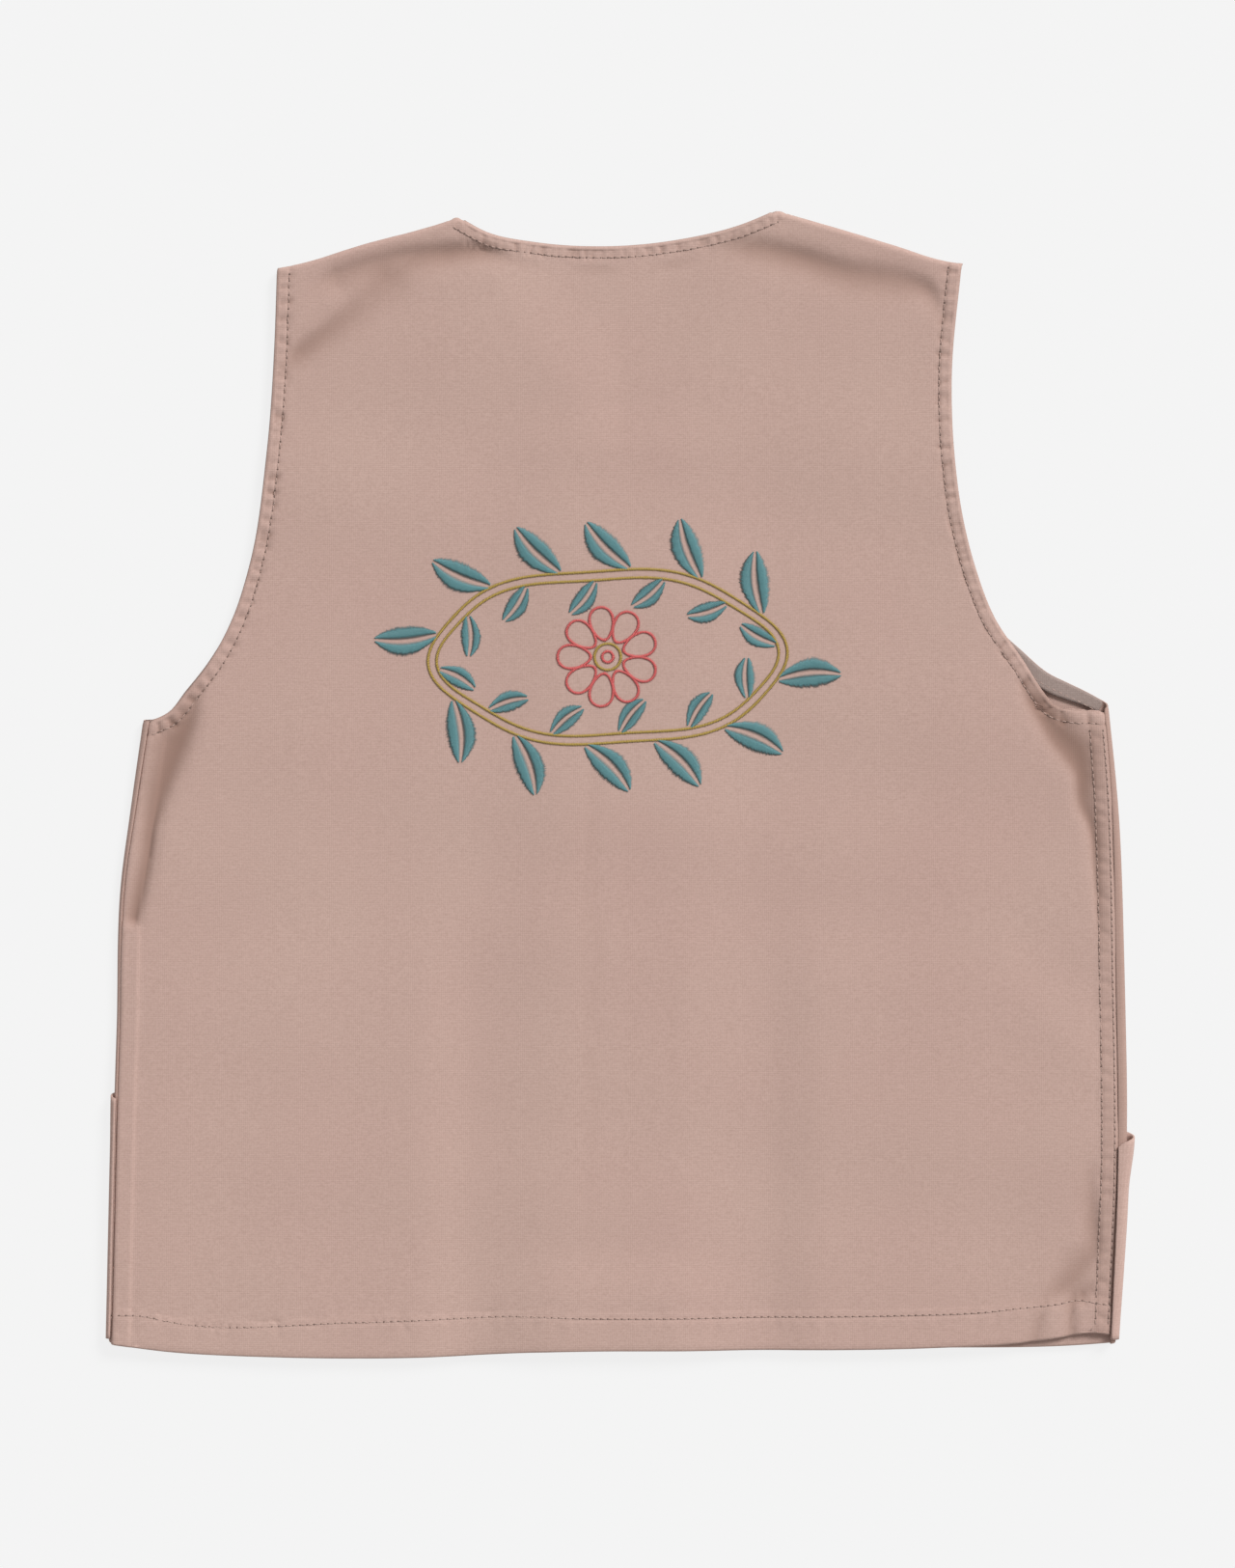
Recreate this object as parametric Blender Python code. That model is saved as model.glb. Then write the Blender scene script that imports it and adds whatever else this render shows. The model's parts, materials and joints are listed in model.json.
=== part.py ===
"""A child's cotton waistcoat, buttoned and laid flat with its back up.

Lengths are in millimetres and are turned to metres as each mesh is made. X runs to the wearer's right,
Y runs from the hem to the neck, and Z runs up from the surface that the fronts lie on. The origin is on
that surface, under the middle of the outline.

Each cloth panel is a smooth middle surface, worked out from the outlines, the layers beneath and the
folds, with a wall of cloth on both sides of it. A point of a panel is named by its place on the flat
pattern: across (from the centre) and up (from the hem).
"""

import math
from collections import namedtuple

import bmesh
import bpy
import numpy as np
from mathutils import Vector

MM = 0.001
NORMAL_STEP = 0.1
SHARP_DEGREES = 50

# Cloth and make
CLOTH = 1.0
SEAM_GAP = 0.3
LAYER = CLOTH + SEAM_GAP
HEM_DEPTH = 15.0
HEM_TURN = LAYER / 2
FOLD_RADIUS = 2.0
BACK_OVER_FRONT = 2 * FOLD_RADIUS
SEAM_DEGREES = 6

# Armhole facings, as shares of a front's width and height
FACING_START = 0.955
FACING_COLUMNS = 6
FACING_LOWEST = 0.535

# Centre front
LAP = 9.0
LAP_MARGIN = 4.0
RAMP = 24.0
BUTTON_COUNT = 5
BUTTON_RADIUS = 7.5
BUTTON_THICKNESS = 2.0
BUTTON_TOP_Y = 104.0
BUTTON_BOTTOM_Y = -164.0
BUTTON_END_MARGIN = 12.0
BUTTON_RIM = 0.5
BUTTON_SIDES = 20
BUTTON_HOLE_RADIUS = 0.9
BUTTON_HOLE_SIDES = 6
BUTTON_HOLE_FROM_CENTRE = 1.7

# Patch pockets, as places on a front's flat pattern
POCKET_INNER = 85.0
POCKET_MOUTH_INNER = 150.0
POCKET_TOP_Y = -95.0
POCKET_MOUTH_SIDE_Y = -147.0
POCKET_ABOVE_HEM = 2.0
POCKET_RAMP = 38.0
POCKET_MARGIN = 12.0
POCKET_ROWS = 8
POCKET_SIDE = 200.0
MOUTH_GAPE = 1.8
MOUTH_GAPE_LENGTH = 22.0

# How far the back sinks where no front lies under it, and how it rises over the lap
NECK_SINK = 1.6
NECK_SINK_RAMP = 60.0
RISE_OVER_BUTTONS = 1.3
RISE_OVER_LAPPED_HEM = 3.0

# Creases fade out this near the shoulder and neck, and over this width
CREASE_CLEAR = 1.5
CREASE_FADE = 9.0

# A crease is shallow at its ends, and full depth from about this share of its length
CREASE_END = 0.4
CREASE_TAPER = 5.0

# Share of a panel's rows that lie below the underarm
UNDERARM = 0.55
UNDERARM_Y = {-1: 24.4, 1: 29.0}

# Degrees round a fold or a curl at which the wall has a row
HEM_TURN_ROWS = (135, 90, 45)
SHOULDER_ROWS = (90, 62, 34, SEAM_DEGREES)

# The shoulder's curl starts this far before the neck point
NECK_MARGIN = 2.5

# How far from a panel's side edge the rows of its grid bend to meet it
EDGE_REACH = 85.0

Crease = namedtuple("Crease", "name start_x start_y end_x end_y bow depth half_width")
CREASES = (
    Crease("left shoulder", -113.0, 198.0, -46.6, 208.8, 4.5, 1.6, 7.0),
    Crease("left shoulder slant", -130.0, 167.0, -92.0, 197.0, -2.0, 1.2, 6.0),
    Crease("right shoulder", 46.5, 208.8, 122.0, 193.0, 0.5, 1.6, 7.0),
    Crease("right shoulder tip", 121.0, 196.0, 126.0, 180.0, 0.0, 0.7, 5.0),
    Crease("left underarm", -158.0, 48.0, -192.0, -56.0, -8.0, 1.5, 7.0),
    Crease("right underarm", 153.0, 46.0, 189.0, -45.0, 5.0, 1.5, 7.0),
    Crease("right hem corner", 188.0, -170.0, 166.0, -202.0, 3.0, 0.9, 6.0),
)

# Outlines, as points (x, y). A side edge is the front's own fold, without the pocket.
LEFT_EDGE = ((-201.4, -224.0), (-198.4, -96.0), (-196.7, -39.0), (-193.0, -11.0), (-188.0, 36.0))
RIGHT_EDGE = ((195.0, -224.0), (199.4, -153.0), (198.8, -68.0), (196.6, -11.0), (192.0, 36.0))
LEFT_SEAM_INSET = ((1.2, -224.0), (1.4, -100.0), (1.6, -60.0), (2.2, -20.0), (3.0, 36.0))
RIGHT_SEAM_INSET = ((2.4, -224.0), (3.9, -150.0), (3.6, -40.0), (2.0, 36.0))
BACK_HEM = (
    (-203.0, -220.6), (-176.0, -224.0), (-138.0, -225.9), (-71.0, -225.9), (-33.0, -224.0),
    (43.0, -223.3), (120.0, -222.4), (157.0, -220.4), (172.0, -218.4), (185.0, -216.4), (198.0, -217.8),
)
FRONT_HEM = (
    (-203.0, -220.0), (-157.0, -224.4), (-71.0, -224.9), (-33.0, -223.2),
    (43.0, -222.9), (120.0, -222.6), (180.0, -221.6), (203.0, -219.8),
)
BACK_LEFT_ARMHOLE = (
    (-185.6, 24.4), (-175.8, 29.4), (-163.2, 46.2), (-152.2, 65.2), (-146.1, 84.2),
    (-138.7, 131.7), (-136.0, 169.7), (-134.8, 203.0),
)
BACK_RIGHT_ARMHOLE = (
    (190.2, 28.4), (181.5, 28.6), (173.9, 31.0), (167.4, 36.6), (158.7, 48.1), (147.3, 65.2),
    (140.0, 84.2), (135.1, 103.2), (131.3, 131.7), (130.5, 160.2), (134.4, 204.8),
)
LEFT_SHOULDER = ((-134.8, 203.0), (-128.3, 204.2), (-99.8, 212.6), (-71.3, 220.4), (-63.7, 222.9))
BACK_NECK = (
    (-63.7, 222.9), (-52.3, 216.8), (-33.3, 213.0), (-5.0, 211.4), (24.0, 214.2), (47.0, 219.6), (61.8, 225.5),
)
RIGHT_SHOULDER = ((61.8, 225.5), (71.3, 222.8), (109.3, 211.5), (127.0, 206.0), (134.4, 204.8))
FRONT_NECK = ((-LAP, 112.0), (14.0, 138.0), (40.0, 176.0), (55.0, 205.0))
FRONT_LEFT_ARMHOLE = (
    (184.0, 30.0), (175.8, 33.2), (164.0, 48.6), (149.0, 68.0), (137.5, 98.0),
    (130.0, 138.0), (129.0, 172.0), (134.2, 202.4),
)
FRONT_RIGHT_ARMHOLE = (
    (187.5, 38.4), (181.5, 39.8), (170.1, 44.8), (158.7, 53.0), (149.5, 61.4), (136.0, 88.0),
    (128.0, 130.0), (127.5, 165.0), (133.6, 204.0),
)

TWILL = {"name": "cotton_twill", "colour": (0.503, 0.352, 0.298), "roughness": 0.92}
FACING_TWILL = {"name": "cotton_twill_inside", "colour": (0.402, 0.318, 0.287), "roughness": 0.95}
BUTTON_RESIN = {"name": "button_resin", "colour": (0.36, 0.24, 0.18), "roughness": 0.35}


def smooth_step(value):
    """0 below 0, 1 above 1, with an even ramp between them."""
    value = min(max(value, 0.0), 1.0)
    return value * value * (3 - 2 * value)


class Line:
    """A smooth line through a short table of points."""

    SAMPLES = 12

    def __init__(self, table):
        points = [np.array(p, float) for p in table]
        ends = [2 * points[0] - points[1], *points, 2 * points[-1] - points[-2]]
        dense = []
        for before, a, b, after in zip(ends, ends[1:], ends[2:], ends[3:]):
            for step in range(self.SAMPLES):
                dense.append(self.between(before, a, b, after, step / self.SAMPLES))
        dense.append(points[-1])
        self.dense = np.array(dense)
        runs = np.linalg.norm(np.diff(self.dense, axis=0), axis=1)
        self.reach = np.concatenate([[0.0], np.cumsum(runs)])

    @staticmethod
    def between(before, a, b, after, t):
        """A point on the stretch from a to b, with slopes that suit the lengths of its neighbours."""
        span, span_before, span_after = (np.linalg.norm(q - p) for p, q in ((a, b), (before, a), (b, after)))
        slope_a = ((b - a) / span * span_before + (a - before) / span_before * span) / (span + span_before)
        slope_b = ((after - b) / span_after * span + (b - a) / span * span_after) / (span + span_after)
        t2, t3 = t * t, t * t * t
        return (
            (2 * t3 - 3 * t2 + 1) * a
            + (t3 - 2 * t2 + t) * span * slope_a
            + (3 * t2 - 2 * t3) * b
            + (t3 - t2) * span * slope_b
        )

    def at(self, share):
        """The point at this share of the line's length."""
        reach = share * self.reach[-1]
        return [float(np.interp(reach, self.reach, self.dense[:, i])) for i in (0, 1)]

    def y_at(self, x):
        """The line's y where it passes x."""
        return float(np.interp(x, self.dense[:, 0], self.dense[:, 1]))

    def x_at(self, y):
        """The line's x where it passes y."""
        return float(np.interp(y, self.dense[:, 1], self.dense[:, 0]))


def joined(*tables):
    """Lines that meet at corners, as one dense line."""
    lines = [Line(t) for t in tables]
    whole = lines[0]
    whole.dense = np.concatenate([line.dense for line in lines])
    return whole


EDGES = {-1: Line(LEFT_EDGE), 1: Line(RIGHT_EDGE)}
SEAM_INSETS = {-1: Line(LEFT_SEAM_INSET), 1: Line(RIGHT_SEAM_INSET)}
HEMS = {"back": Line(BACK_HEM), "front": Line(FRONT_HEM)}
BACK_TOP = joined(LEFT_SHOULDER, BACK_NECK, RIGHT_SHOULDER)
FRONT_TOPS = {
    -1: joined(FRONT_NECK + ((63.7, 222.9),), tuple((-x, y) for x, y in reversed(LEFT_SHOULDER))),
    1: joined(FRONT_NECK + ((61.8, 225.5),), RIGHT_SHOULDER),
}
NECK_POINTS = {-1: 63.7, 1: 61.8}
BACK_ARMHOLES = {-1: Line(BACK_LEFT_ARMHOLE), 1: Line(BACK_RIGHT_ARMHOLE)}
FRONT_ARMHOLES = {-1: FRONT_LEFT_ARMHOLE, 1: FRONT_RIGHT_ARMHOLE}


def fold_start(side, y):
    """How far from the centre the front starts to turn up round its side edge."""
    return abs(EDGES[side].x_at(y)) - FOLD_RADIUS - CLOTH / 2


def seam_from_centre(side, y):
    """How far from the centre the side seam lies, on top."""
    return abs(EDGES[side].x_at(y)) - SEAM_INSETS[side].x_at(y)


def turn_to_seam(side, y):
    """Length of cloth from the start of the side turn to the seam."""
    past_start = seam_from_centre(side, y) - fold_start(side, y)
    if past_start <= 0:
        return math.pi * FOLD_RADIUS - past_start
    return (math.pi - seam_lean(past_start)) * FOLD_RADIUS


def seam_lean(past_start):
    """Angle, from the top of the side turn, of a seam this far past the turn's start."""
    return math.asin(min(past_start / (FOLD_RADIUS + CLOTH / 2), 1.0))


def back_end(side, y):
    """How far from the centre the middle of the back's wall ends, half a gap short of the side seam."""
    start = fold_start(side, y)
    past_start = seam_from_centre(side, y) - start
    if past_start <= 0:
        return start + past_start - SEAM_GAP / 2
    return start + FOLD_RADIUS * math.sin(seam_lean(past_start) - SEAM_GAP / 2 / FOLD_RADIUS)


def pocket_share(across, y):
    """1 over a pocket, 0 away from it."""
    slope = (POCKET_TOP_Y - POCKET_MOUTH_SIDE_Y) / (POCKET_SIDE - POCKET_MOUTH_INNER)
    top = POCKET_TOP_Y - max(0.0, across - POCKET_MOUTH_INNER) * slope
    inward = smooth_step((across - POCKET_INNER + RAMP + LAP_MARGIN) / RAMP)
    return inward * smooth_step((top + POCKET_MARGIN + POCKET_RAMP - y) / POCKET_RAMP)


def button_strip_share(x, y):
    """1 over the row of buttons, 0 away from it."""
    across = smooth_step((BUTTON_RADIUS + LAP_MARGIN + RAMP - abs(x)) / RAMP)
    return across * smooth_step((y - BUTTON_BOTTOM_Y + BUTTON_RADIUS + BUTTON_END_MARGIN + RAMP) / RAMP)


def base_height(x, y):
    """Middle of a front's wall above the surface, over the pockets but away from the lap."""
    return CLOTH / 2 + LAYER * pocket_share(abs(x), y)


def front_height(side, x, y):
    """Middle of a front's wall above the surface. The left front is the outer one of the lap."""
    height = base_height(x, y) + (BUTTON_THICKNESS + SEAM_GAP) * button_strip_share(x, y)
    if side > 0:
        hem_share = smooth_step((HEMS["front"].y_at(x) + HEM_DEPTH + LAP_MARGIN + RAMP - y) / RAMP)
        lift = LAYER * (1 + hem_share)
        height += lift * smooth_step((LAP + LAP_MARGIN + RAMP - x) / RAMP)
    return height


def crease_depth(x, y):
    """How far the creases press the back down at this point."""
    depth = 0.0
    for crease in CREASES:
        start = np.array((crease.start_x, crease.start_y))
        run = np.array((crease.end_x, crease.end_y)) - start
        length = np.linalg.norm(run)
        run = run / length
        sideways = np.array((-run[1], run[0]))
        offset = np.array((x, y)) - start
        along = offset @ run / length
        bow = crease.bow * 4 * along * (1 - along) if 0 < along < 1 else 0.0
        away = offset @ sideways - bow
        beyond = max(0.0, -along, along - 1) * length
        taper = smooth_step(min(along, 1 - along) * CREASE_TAPER + CREASE_END)
        depth += crease.depth * taper * math.exp(-(away**2 + beyond**2) / crease.half_width**2)
    return depth


def side_drop(x, y):
    """How far the back curls down within the turn of the cloth at its side edges."""
    side = 1 if x > 0 else -1
    if y > EDGES[side].dense[-1, 1]:
        return 0.0
    past_start = abs(x) - fold_start(side, y)
    if past_start <= 0:
        return 0.0
    return FOLD_RADIUS - math.sqrt(max(FOLD_RADIUS**2 - past_start**2, 0.0))


def back_height(x, y):
    """Middle of the back's wall above the surface."""
    side = 1 if x > 0 else -1
    over_hem = smooth_step((HEMS["back"].y_at(x) + HEM_DEPTH + LAP_MARGIN + RAMP - y) / RAMP)
    across = smooth_step((LAP + LAP_MARGIN + 2 * RAMP - abs(x)) / (2 * RAMP - LAP_MARGIN))
    above = smooth_step((BUTTON_TOP_Y + 2 * RAMP - y) / RAMP)
    rise = across * above * (RISE_OVER_BUTTONS + (RISE_OVER_LAPPED_HEM - RISE_OVER_BUTTONS) * over_hem)
    past_neck = y - FRONT_TOPS[side].y_at(abs(x)) if abs(x) < NECK_POINTS[side] else 0.0
    sink = NECK_SINK * smooth_step(past_neck / NECK_SINK_RAMP)
    from_top = BACK_TOP.y_at(x) - y
    creases = crease_depth(x, y) * smooth_step((from_top - CREASE_CLEAR) / CREASE_FADE)
    return base_height(x, y) + BACK_OVER_FRONT + rise - sink - creases - side_drop(x, y)


def normal_of(surface, across, up, outward):
    """Unit normal of a middle surface, on its outer side. Outward is +1 or -1, as the surface runs."""
    step = NORMAL_STEP
    along_x = surface(across + step, up) - surface(across - step, up)
    along_y = surface(across, up + step) - surface(across, up - step)
    return (along_x.cross(along_y) * outward).normalized()


def wall_mesh(name, rows, material):
    """A closed wall of cloth round a grid of (middle point, outer normal) pairs."""
    mesh = bmesh.new()
    half = CLOTH / 2
    outer = [[mesh.verts.new((p + n * half) * MM) for p, n in row] for row in rows]
    inner = [[mesh.verts.new((p - n * half) * MM) for p, n in row] for row in rows]
    last_row, last_column = len(rows) - 1, len(rows[0]) - 1
    for i in range(last_row):
        for j in range(last_column):
            mesh.faces.new((outer[i][j], outer[i][j + 1], outer[i + 1][j + 1], outer[i + 1][j]))
            mesh.faces.new((inner[i][j], inner[i + 1][j], inner[i + 1][j + 1], inner[i][j + 1]))
    for j in range(last_column):
        mesh.faces.new((outer[0][j + 1], outer[0][j], inner[0][j], inner[0][j + 1]))
        mesh.faces.new((outer[last_row][j], outer[last_row][j + 1], inner[last_row][j + 1], inner[last_row][j]))
    for i in range(last_row):
        mesh.faces.new((outer[i][0], outer[i + 1][0], inner[i + 1][0], inner[i][0]))
        ends = (outer[i + 1][-1], outer[i][-1], inner[i][-1], inner[i + 1][-1])
        mesh.faces.new(ends)
    bmesh.ops.recalc_face_normals(mesh, faces=mesh.faces)
    return finish_mesh(name, mesh, material)


def finish_mesh(name, mesh, material):
    """Turns a bmesh into a shaded object of its own."""
    data = bpy.data.meshes.new(name)
    mesh.to_mesh(data)
    mesh.free()
    data.materials.append(material)
    data.shade_smooth()
    data.set_sharp_from_angle(angle=math.radians(SHARP_DEGREES))
    piece = bpy.data.objects.new(name, data)
    bpy.context.scene.collection.objects.link(piece)
    return piece


def make_material(finish):
    """A Principled BSDF with the finish's colour and roughness."""
    material = bpy.data.materials.new(finish["name"])
    material.use_nodes = True
    shader = material.node_tree.nodes["Principled BSDF"]
    shader.inputs["Base Color"].default_value = (*finish["colour"], 1.0)
    shader.inputs["Roughness"].default_value = finish["roughness"]
    material.diffuse_color = (*finish["colour"], 1.0)
    return material


def spread(*stretches):
    """Even steps over stretches that meet. Each stretch is (start, end, steps)."""
    values = [stretches[0][0]]
    for start, end, steps in stretches:
        values += [start + (end - start) * (k + 1) / steps for k in range(steps)]
    return values


class Panel:
    """A panel as a grid of points. u runs across it and v up it, each from 0 to 1.

    A kind of panel gives surface(across, up), ends(v), reach(across, up), hem(across) and top(across).
    A row of the grid runs evenly between the hem and the top, and bends to its end points near them.
    """

    def __init__(self, columns, rows, free_top, outward):
        self.columns = columns
        self.rows = rows
        self.free_top = free_top
        self.outward = outward

    def even_y(self, u, v):
        """Height of a point that is this share of the way from the hem to the top."""
        (low_left, _), (low_right, _) = self.ends(0.0)
        (high_left, _), (high_right, _) = self.ends(1.0)
        low = self.hem(low_left + (low_right - low_left) * u)
        high = self.top(high_left + (high_right - high_left) * u)
        return low + (high - low) * v

    def place(self, u, v):
        """Place on the flat pattern of a grid point."""
        (left_x, left_y), (right_x, right_y) = self.ends(v)
        width = right_x - left_x
        bend = (left_y - self.even_y(0.0, v)) * max(0.0, 1 - width * u / EDGE_REACH) ** 2
        bend += (right_y - self.even_y(1.0, v)) * max(0.0, 1 - width * (1 - u) / EDGE_REACH) ** 2
        across = left_x + width * u
        return across, max(self.even_y(u, v) + bend, self.hem(across) + HEM_TURN + CLOTH / 2)

    def sheet_point(self, across, up, inwards=0.0):
        """Middle point and outer normal of a wall, moved in by a distance."""
        normal = normal_of(self.surface, across, up, self.outward)
        return self.surface(across, up) - normal * inwards, normal

    def hem_rows(self):
        """The hem: its raw edge inside, down to the fold, and round the fold to the outer side."""
        down = Vector((0, -1, 0))
        at_hem = [self.place(u, 0.0)[0] for u in self.columns]
        folds = [self.hem(x) + HEM_TURN + CLOTH / 2 for x in at_hem]
        rows = []
        for depth in (HEM_DEPTH, HEM_DEPTH / 2, HEM_TURN + CLOTH / 2):
            row = []
            for x, fold in zip(at_hem, folds):
                up = fold - HEM_TURN - CLOTH / 2 + depth
                across = x * self.reach(x, up) / self.reach(x, fold)
                point, normal = self.sheet_point(across, up, 2 * HEM_TURN)
                row.append((point, -normal))
            rows.append(row)
        for degrees in HEM_TURN_ROWS:
            turn = math.radians(degrees)
            row = []
            for across, fold in zip(at_hem, folds):
                point, normal = self.sheet_point(across, fold, HEM_TURN * (1 - math.cos(turn)))
                point += down * HEM_TURN * math.sin(turn)
                row.append((point, normal * math.cos(turn) + down * math.sin(turn)))
            rows.append(row)
        return rows

    def top_rows(self):
        """The curl round to the shoulder seam. A free neck edge stays level."""
        up = Vector((0, 1, 0))
        rows = []
        for degrees in SHOULDER_ROWS:
            turn = math.radians(degrees)
            row = []
            for u in self.columns:
                across = self.place(u, 1.0)[0]
                top = self.top(across)
                start = top - FOLD_RADIUS - CLOTH / 2
                along = math.cos(turn) / math.cos(math.radians(SEAM_DEGREES))
                if self.free_top[0] < across < self.free_top[1]:
                    row.append(self.sheet_point(across, start + (top - start) * along))
                    continue
                point, normal = self.sheet_point(across, start, FOLD_RADIUS * (1 - math.sin(turn)))
                point += up * FOLD_RADIUS * math.cos(turn)
                row.append((point, normal * math.sin(turn) + up * math.cos(turn)))
            rows.append(row)
        return rows

    def make(self, name, material):
        """The panel's closed wall, from the raw edge of the hem to the shoulder."""
        rows = self.hem_rows()
        rows += [[self.sheet_point(*self.place(u, v)) for u in self.columns] for v in self.rows]
        return wall_mesh(name, rows + self.top_rows(), material)


class Back(Panel):
    """The back, from side seam to side seam."""

    def __init__(self):
        left, right = -NECK_POINTS[-1], NECK_POINTS[1]
        shoulder_left, shoulder_right = BACK_ARMHOLES[-1].at(1)[0], BACK_ARMHOLES[1].at(1)[0]
        width = shoulder_right - shoulder_left
        neck = (left - shoulder_left) / width, (right - shoulder_left) / width
        columns = spread(
            (0.0, 0.006, 2), (0.006, 0.02, 1), (0.02, neck[0], 9), (neck[0], neck[1], 12),
            (neck[1], 0.98, 9), (0.98, 0.994, 1), (0.994, 1.0, 2),
        )
        super().__init__(columns, row_shares(13), (left + NECK_MARGIN, right - NECK_MARGIN), 1)

    def surface(self, across, up):
        return Vector((across, up, back_height(across, up)))

    def hem(self, across):
        return HEMS["back"].y_at(across)

    def top(self, across):
        return BACK_TOP.y_at(across)

    def reach(self, across, up):
        return back_end(1 if across > 0 else -1, up)

    def ends(self, v):
        found = []
        for side in (-1, 1):
            armhole = BACK_ARMHOLES[side]
            if v > UNDERARM:
                found.append(armhole.at((v - UNDERARM) / (1 - UNDERARM)))
                continue
            low = self.hem(EDGES[side].x_at(EDGES[side].dense[0, 1]))
            up = low + (armhole.at(0)[1] - low) * v / UNDERARM
            found.append((side * back_end(side, up), up))
        return found


class Front(Panel):
    """A front: it lies flat, and turns up round its side edge to the side seam."""

    def __init__(self, side):
        self.side = side
        table = FRONT_ARMHOLES[side]
        self.armhole = Line(((self.reach(1, UNDERARM_Y[side]), UNDERARM_Y[side]), *table))
        self.low_edge = fold_start(side, EDGES[side].dense[0, 1])
        neck = (NECK_POINTS[side] + LAP) / (self.armhole.at(1)[0] + LAP)
        columns = spread((0.0, neck, 6), (neck, FACING_START, 6), (FACING_START, 1.0, FACING_COLUMNS))
        super().__init__(columns, row_shares(8), (-2 * LAP, NECK_POINTS[side] - NECK_MARGIN), -side)

    def surface(self, across, up):
        side = self.side
        start = fold_start(side, up)
        past = across - start
        if past <= 0:
            return Vector((side * across, up, front_height(side, side * across, up)))
        height = front_height(side, side * start, up)
        if past <= math.pi * FOLD_RADIUS:
            turn = past / FOLD_RADIUS
            out = start + FOLD_RADIUS * math.sin(turn)
            return Vector((side * out, up, height + FOLD_RADIUS * (1 - math.cos(turn))))
        return Vector((side * (start + math.pi * FOLD_RADIUS - past), up, height + 2 * FOLD_RADIUS))

    def hem(self, across):
        return HEMS["front"].y_at(self.side * min(across, self.low_edge))

    def top(self, across):
        return FRONT_TOPS[self.side].y_at(across)

    def reach(self, across, up):
        if across <= 0:
            return LAP
        return fold_start(self.side, up) + turn_to_seam(self.side, up) - SEAM_GAP / 2

    def ends(self, v):
        low, high = self.hem(-LAP), self.top(-LAP)
        centre = (-LAP, low + (high - low) * v)
        if v > UNDERARM:
            return centre, self.armhole.at((v - UNDERARM) / (1 - UNDERARM))
        low = self.hem(self.low_edge)
        up = low + (self.armhole.at(0)[1] - low) * v / UNDERARM
        return centre, (self.reach(1, up), up)

    def make_facing(self, name, material):
        """Facing along the inside of the armhole, on the panel's own grid."""
        columns = self.columns[-FACING_COLUMNS - 1:]
        rows = self.rows[self.rows.index(FACING_LOWEST):]
        grid = [[self.sheet_point(*self.place(u, v), LAYER) for u in columns] for v in rows]
        return wall_mesh(name, grid, material)


def row_shares(arm_rows):
    """Shares of a panel's height for its rows, denser above the hem and at the underarm."""
    side = spread((0.0, 0.033, 1), (0.033, 0.12, 3), (0.12, FACING_LOWEST, 9), (FACING_LOWEST, UNDERARM, 1))
    return side + spread((UNDERARM, 0.58, 3), (0.58, 0.985, arm_rows))[1:]


def make_pocket(front, name, material):
    """A slanted patch pocket on the outer side of a front, from its inner edge round to the side seam."""
    side = front.side

    def top(across, seam):
        if across <= POCKET_MOUTH_INNER:
            return POCKET_TOP_Y
        share = (across - POCKET_MOUTH_INNER) / (seam - POCKET_MOUTH_INNER)
        return POCKET_TOP_Y + (POCKET_MOUTH_SIDE_Y - POCKET_TOP_Y) * share

    shares_across = spread((0.0, 0.55, 4), (0.55, 0.92, 4), (0.92, 1.0, 6))
    rows = []
    for k in range(POCKET_ROWS + 1):
        row = []
        for share_across in shares_across:
            seam = front.reach(1, POCKET_MOUTH_SIDE_Y)
            across = POCKET_INNER + (seam - POCKET_INNER) * share_across
            low = front.hem(across) + POCKET_ABOVE_HEM
            high = top(across, seam)
            up = low + (high - low) * k / POCKET_ROWS
            across += (front.reach(1, up) - seam) * share_across
            turn = (across - fold_start(side, up)) / FOLD_RADIUS
            gape = math.sin(turn) ** 2 if 0 < turn < math.pi else 0.0
            gape *= MOUTH_GAPE * smooth_step(1 - (high - up) / MOUTH_GAPE_LENGTH)
            row.append(front.sheet_point(across, up, -LAYER - gape))
        rows.append(row)
    return wall_mesh(name, rows, material)


def make_button(name, y, material):
    """A four-hole button, face down, with a rounded rim."""
    mesh = bmesh.new()
    bmesh.ops.create_cone(
        mesh, cap_ends=True, segments=BUTTON_SIDES, radius1=BUTTON_RADIUS * MM, radius2=BUTTON_RADIUS * MM,
        depth=BUTTON_THICKNESS * MM,
    )
    rims = [edge for edge in mesh.edges if len({vert.co.z > 0 for vert in edge.verts}) == 1]
    bmesh.ops.bevel(
        mesh, geom=rims, offset=BUTTON_RIM * MM, segments=1, profile=0.5, affect="EDGES", material=-1
    )
    bmesh.ops.translate(mesh, verts=mesh.verts, vec=(0, y * MM, BUTTON_THICKNESS / 2 * MM))
    button = finish_mesh(name, mesh, material)
    for k in range(4):
        angle = math.pi / 4 + k * math.pi / 2
        x = BUTTON_HOLE_FROM_CENTRE * math.cos(angle)
        hole_y = y + BUTTON_HOLE_FROM_CENTRE * math.sin(angle)
        hole = bmesh.new()
        bmesh.ops.create_cone(
            hole, cap_ends=True, segments=BUTTON_HOLE_SIDES, radius1=BUTTON_HOLE_RADIUS * MM,
            radius2=BUTTON_HOLE_RADIUS * MM, depth=2 * BUTTON_THICKNESS * MM,
        )
        bmesh.ops.translate(hole, verts=hole.verts, vec=(x * MM, hole_y * MM, BUTTON_THICKNESS / 2 * MM))
        cutter = finish_mesh(f"{name}_hole_{k + 1}", hole, material)
        cutter.hide_render = True
        cutter.display_type = "WIRE"
        cut = button.modifiers.new(f"hole_{k + 1}", "BOOLEAN")
        cut.object = cutter
        cut.operation = "DIFFERENCE"
    return button


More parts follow.
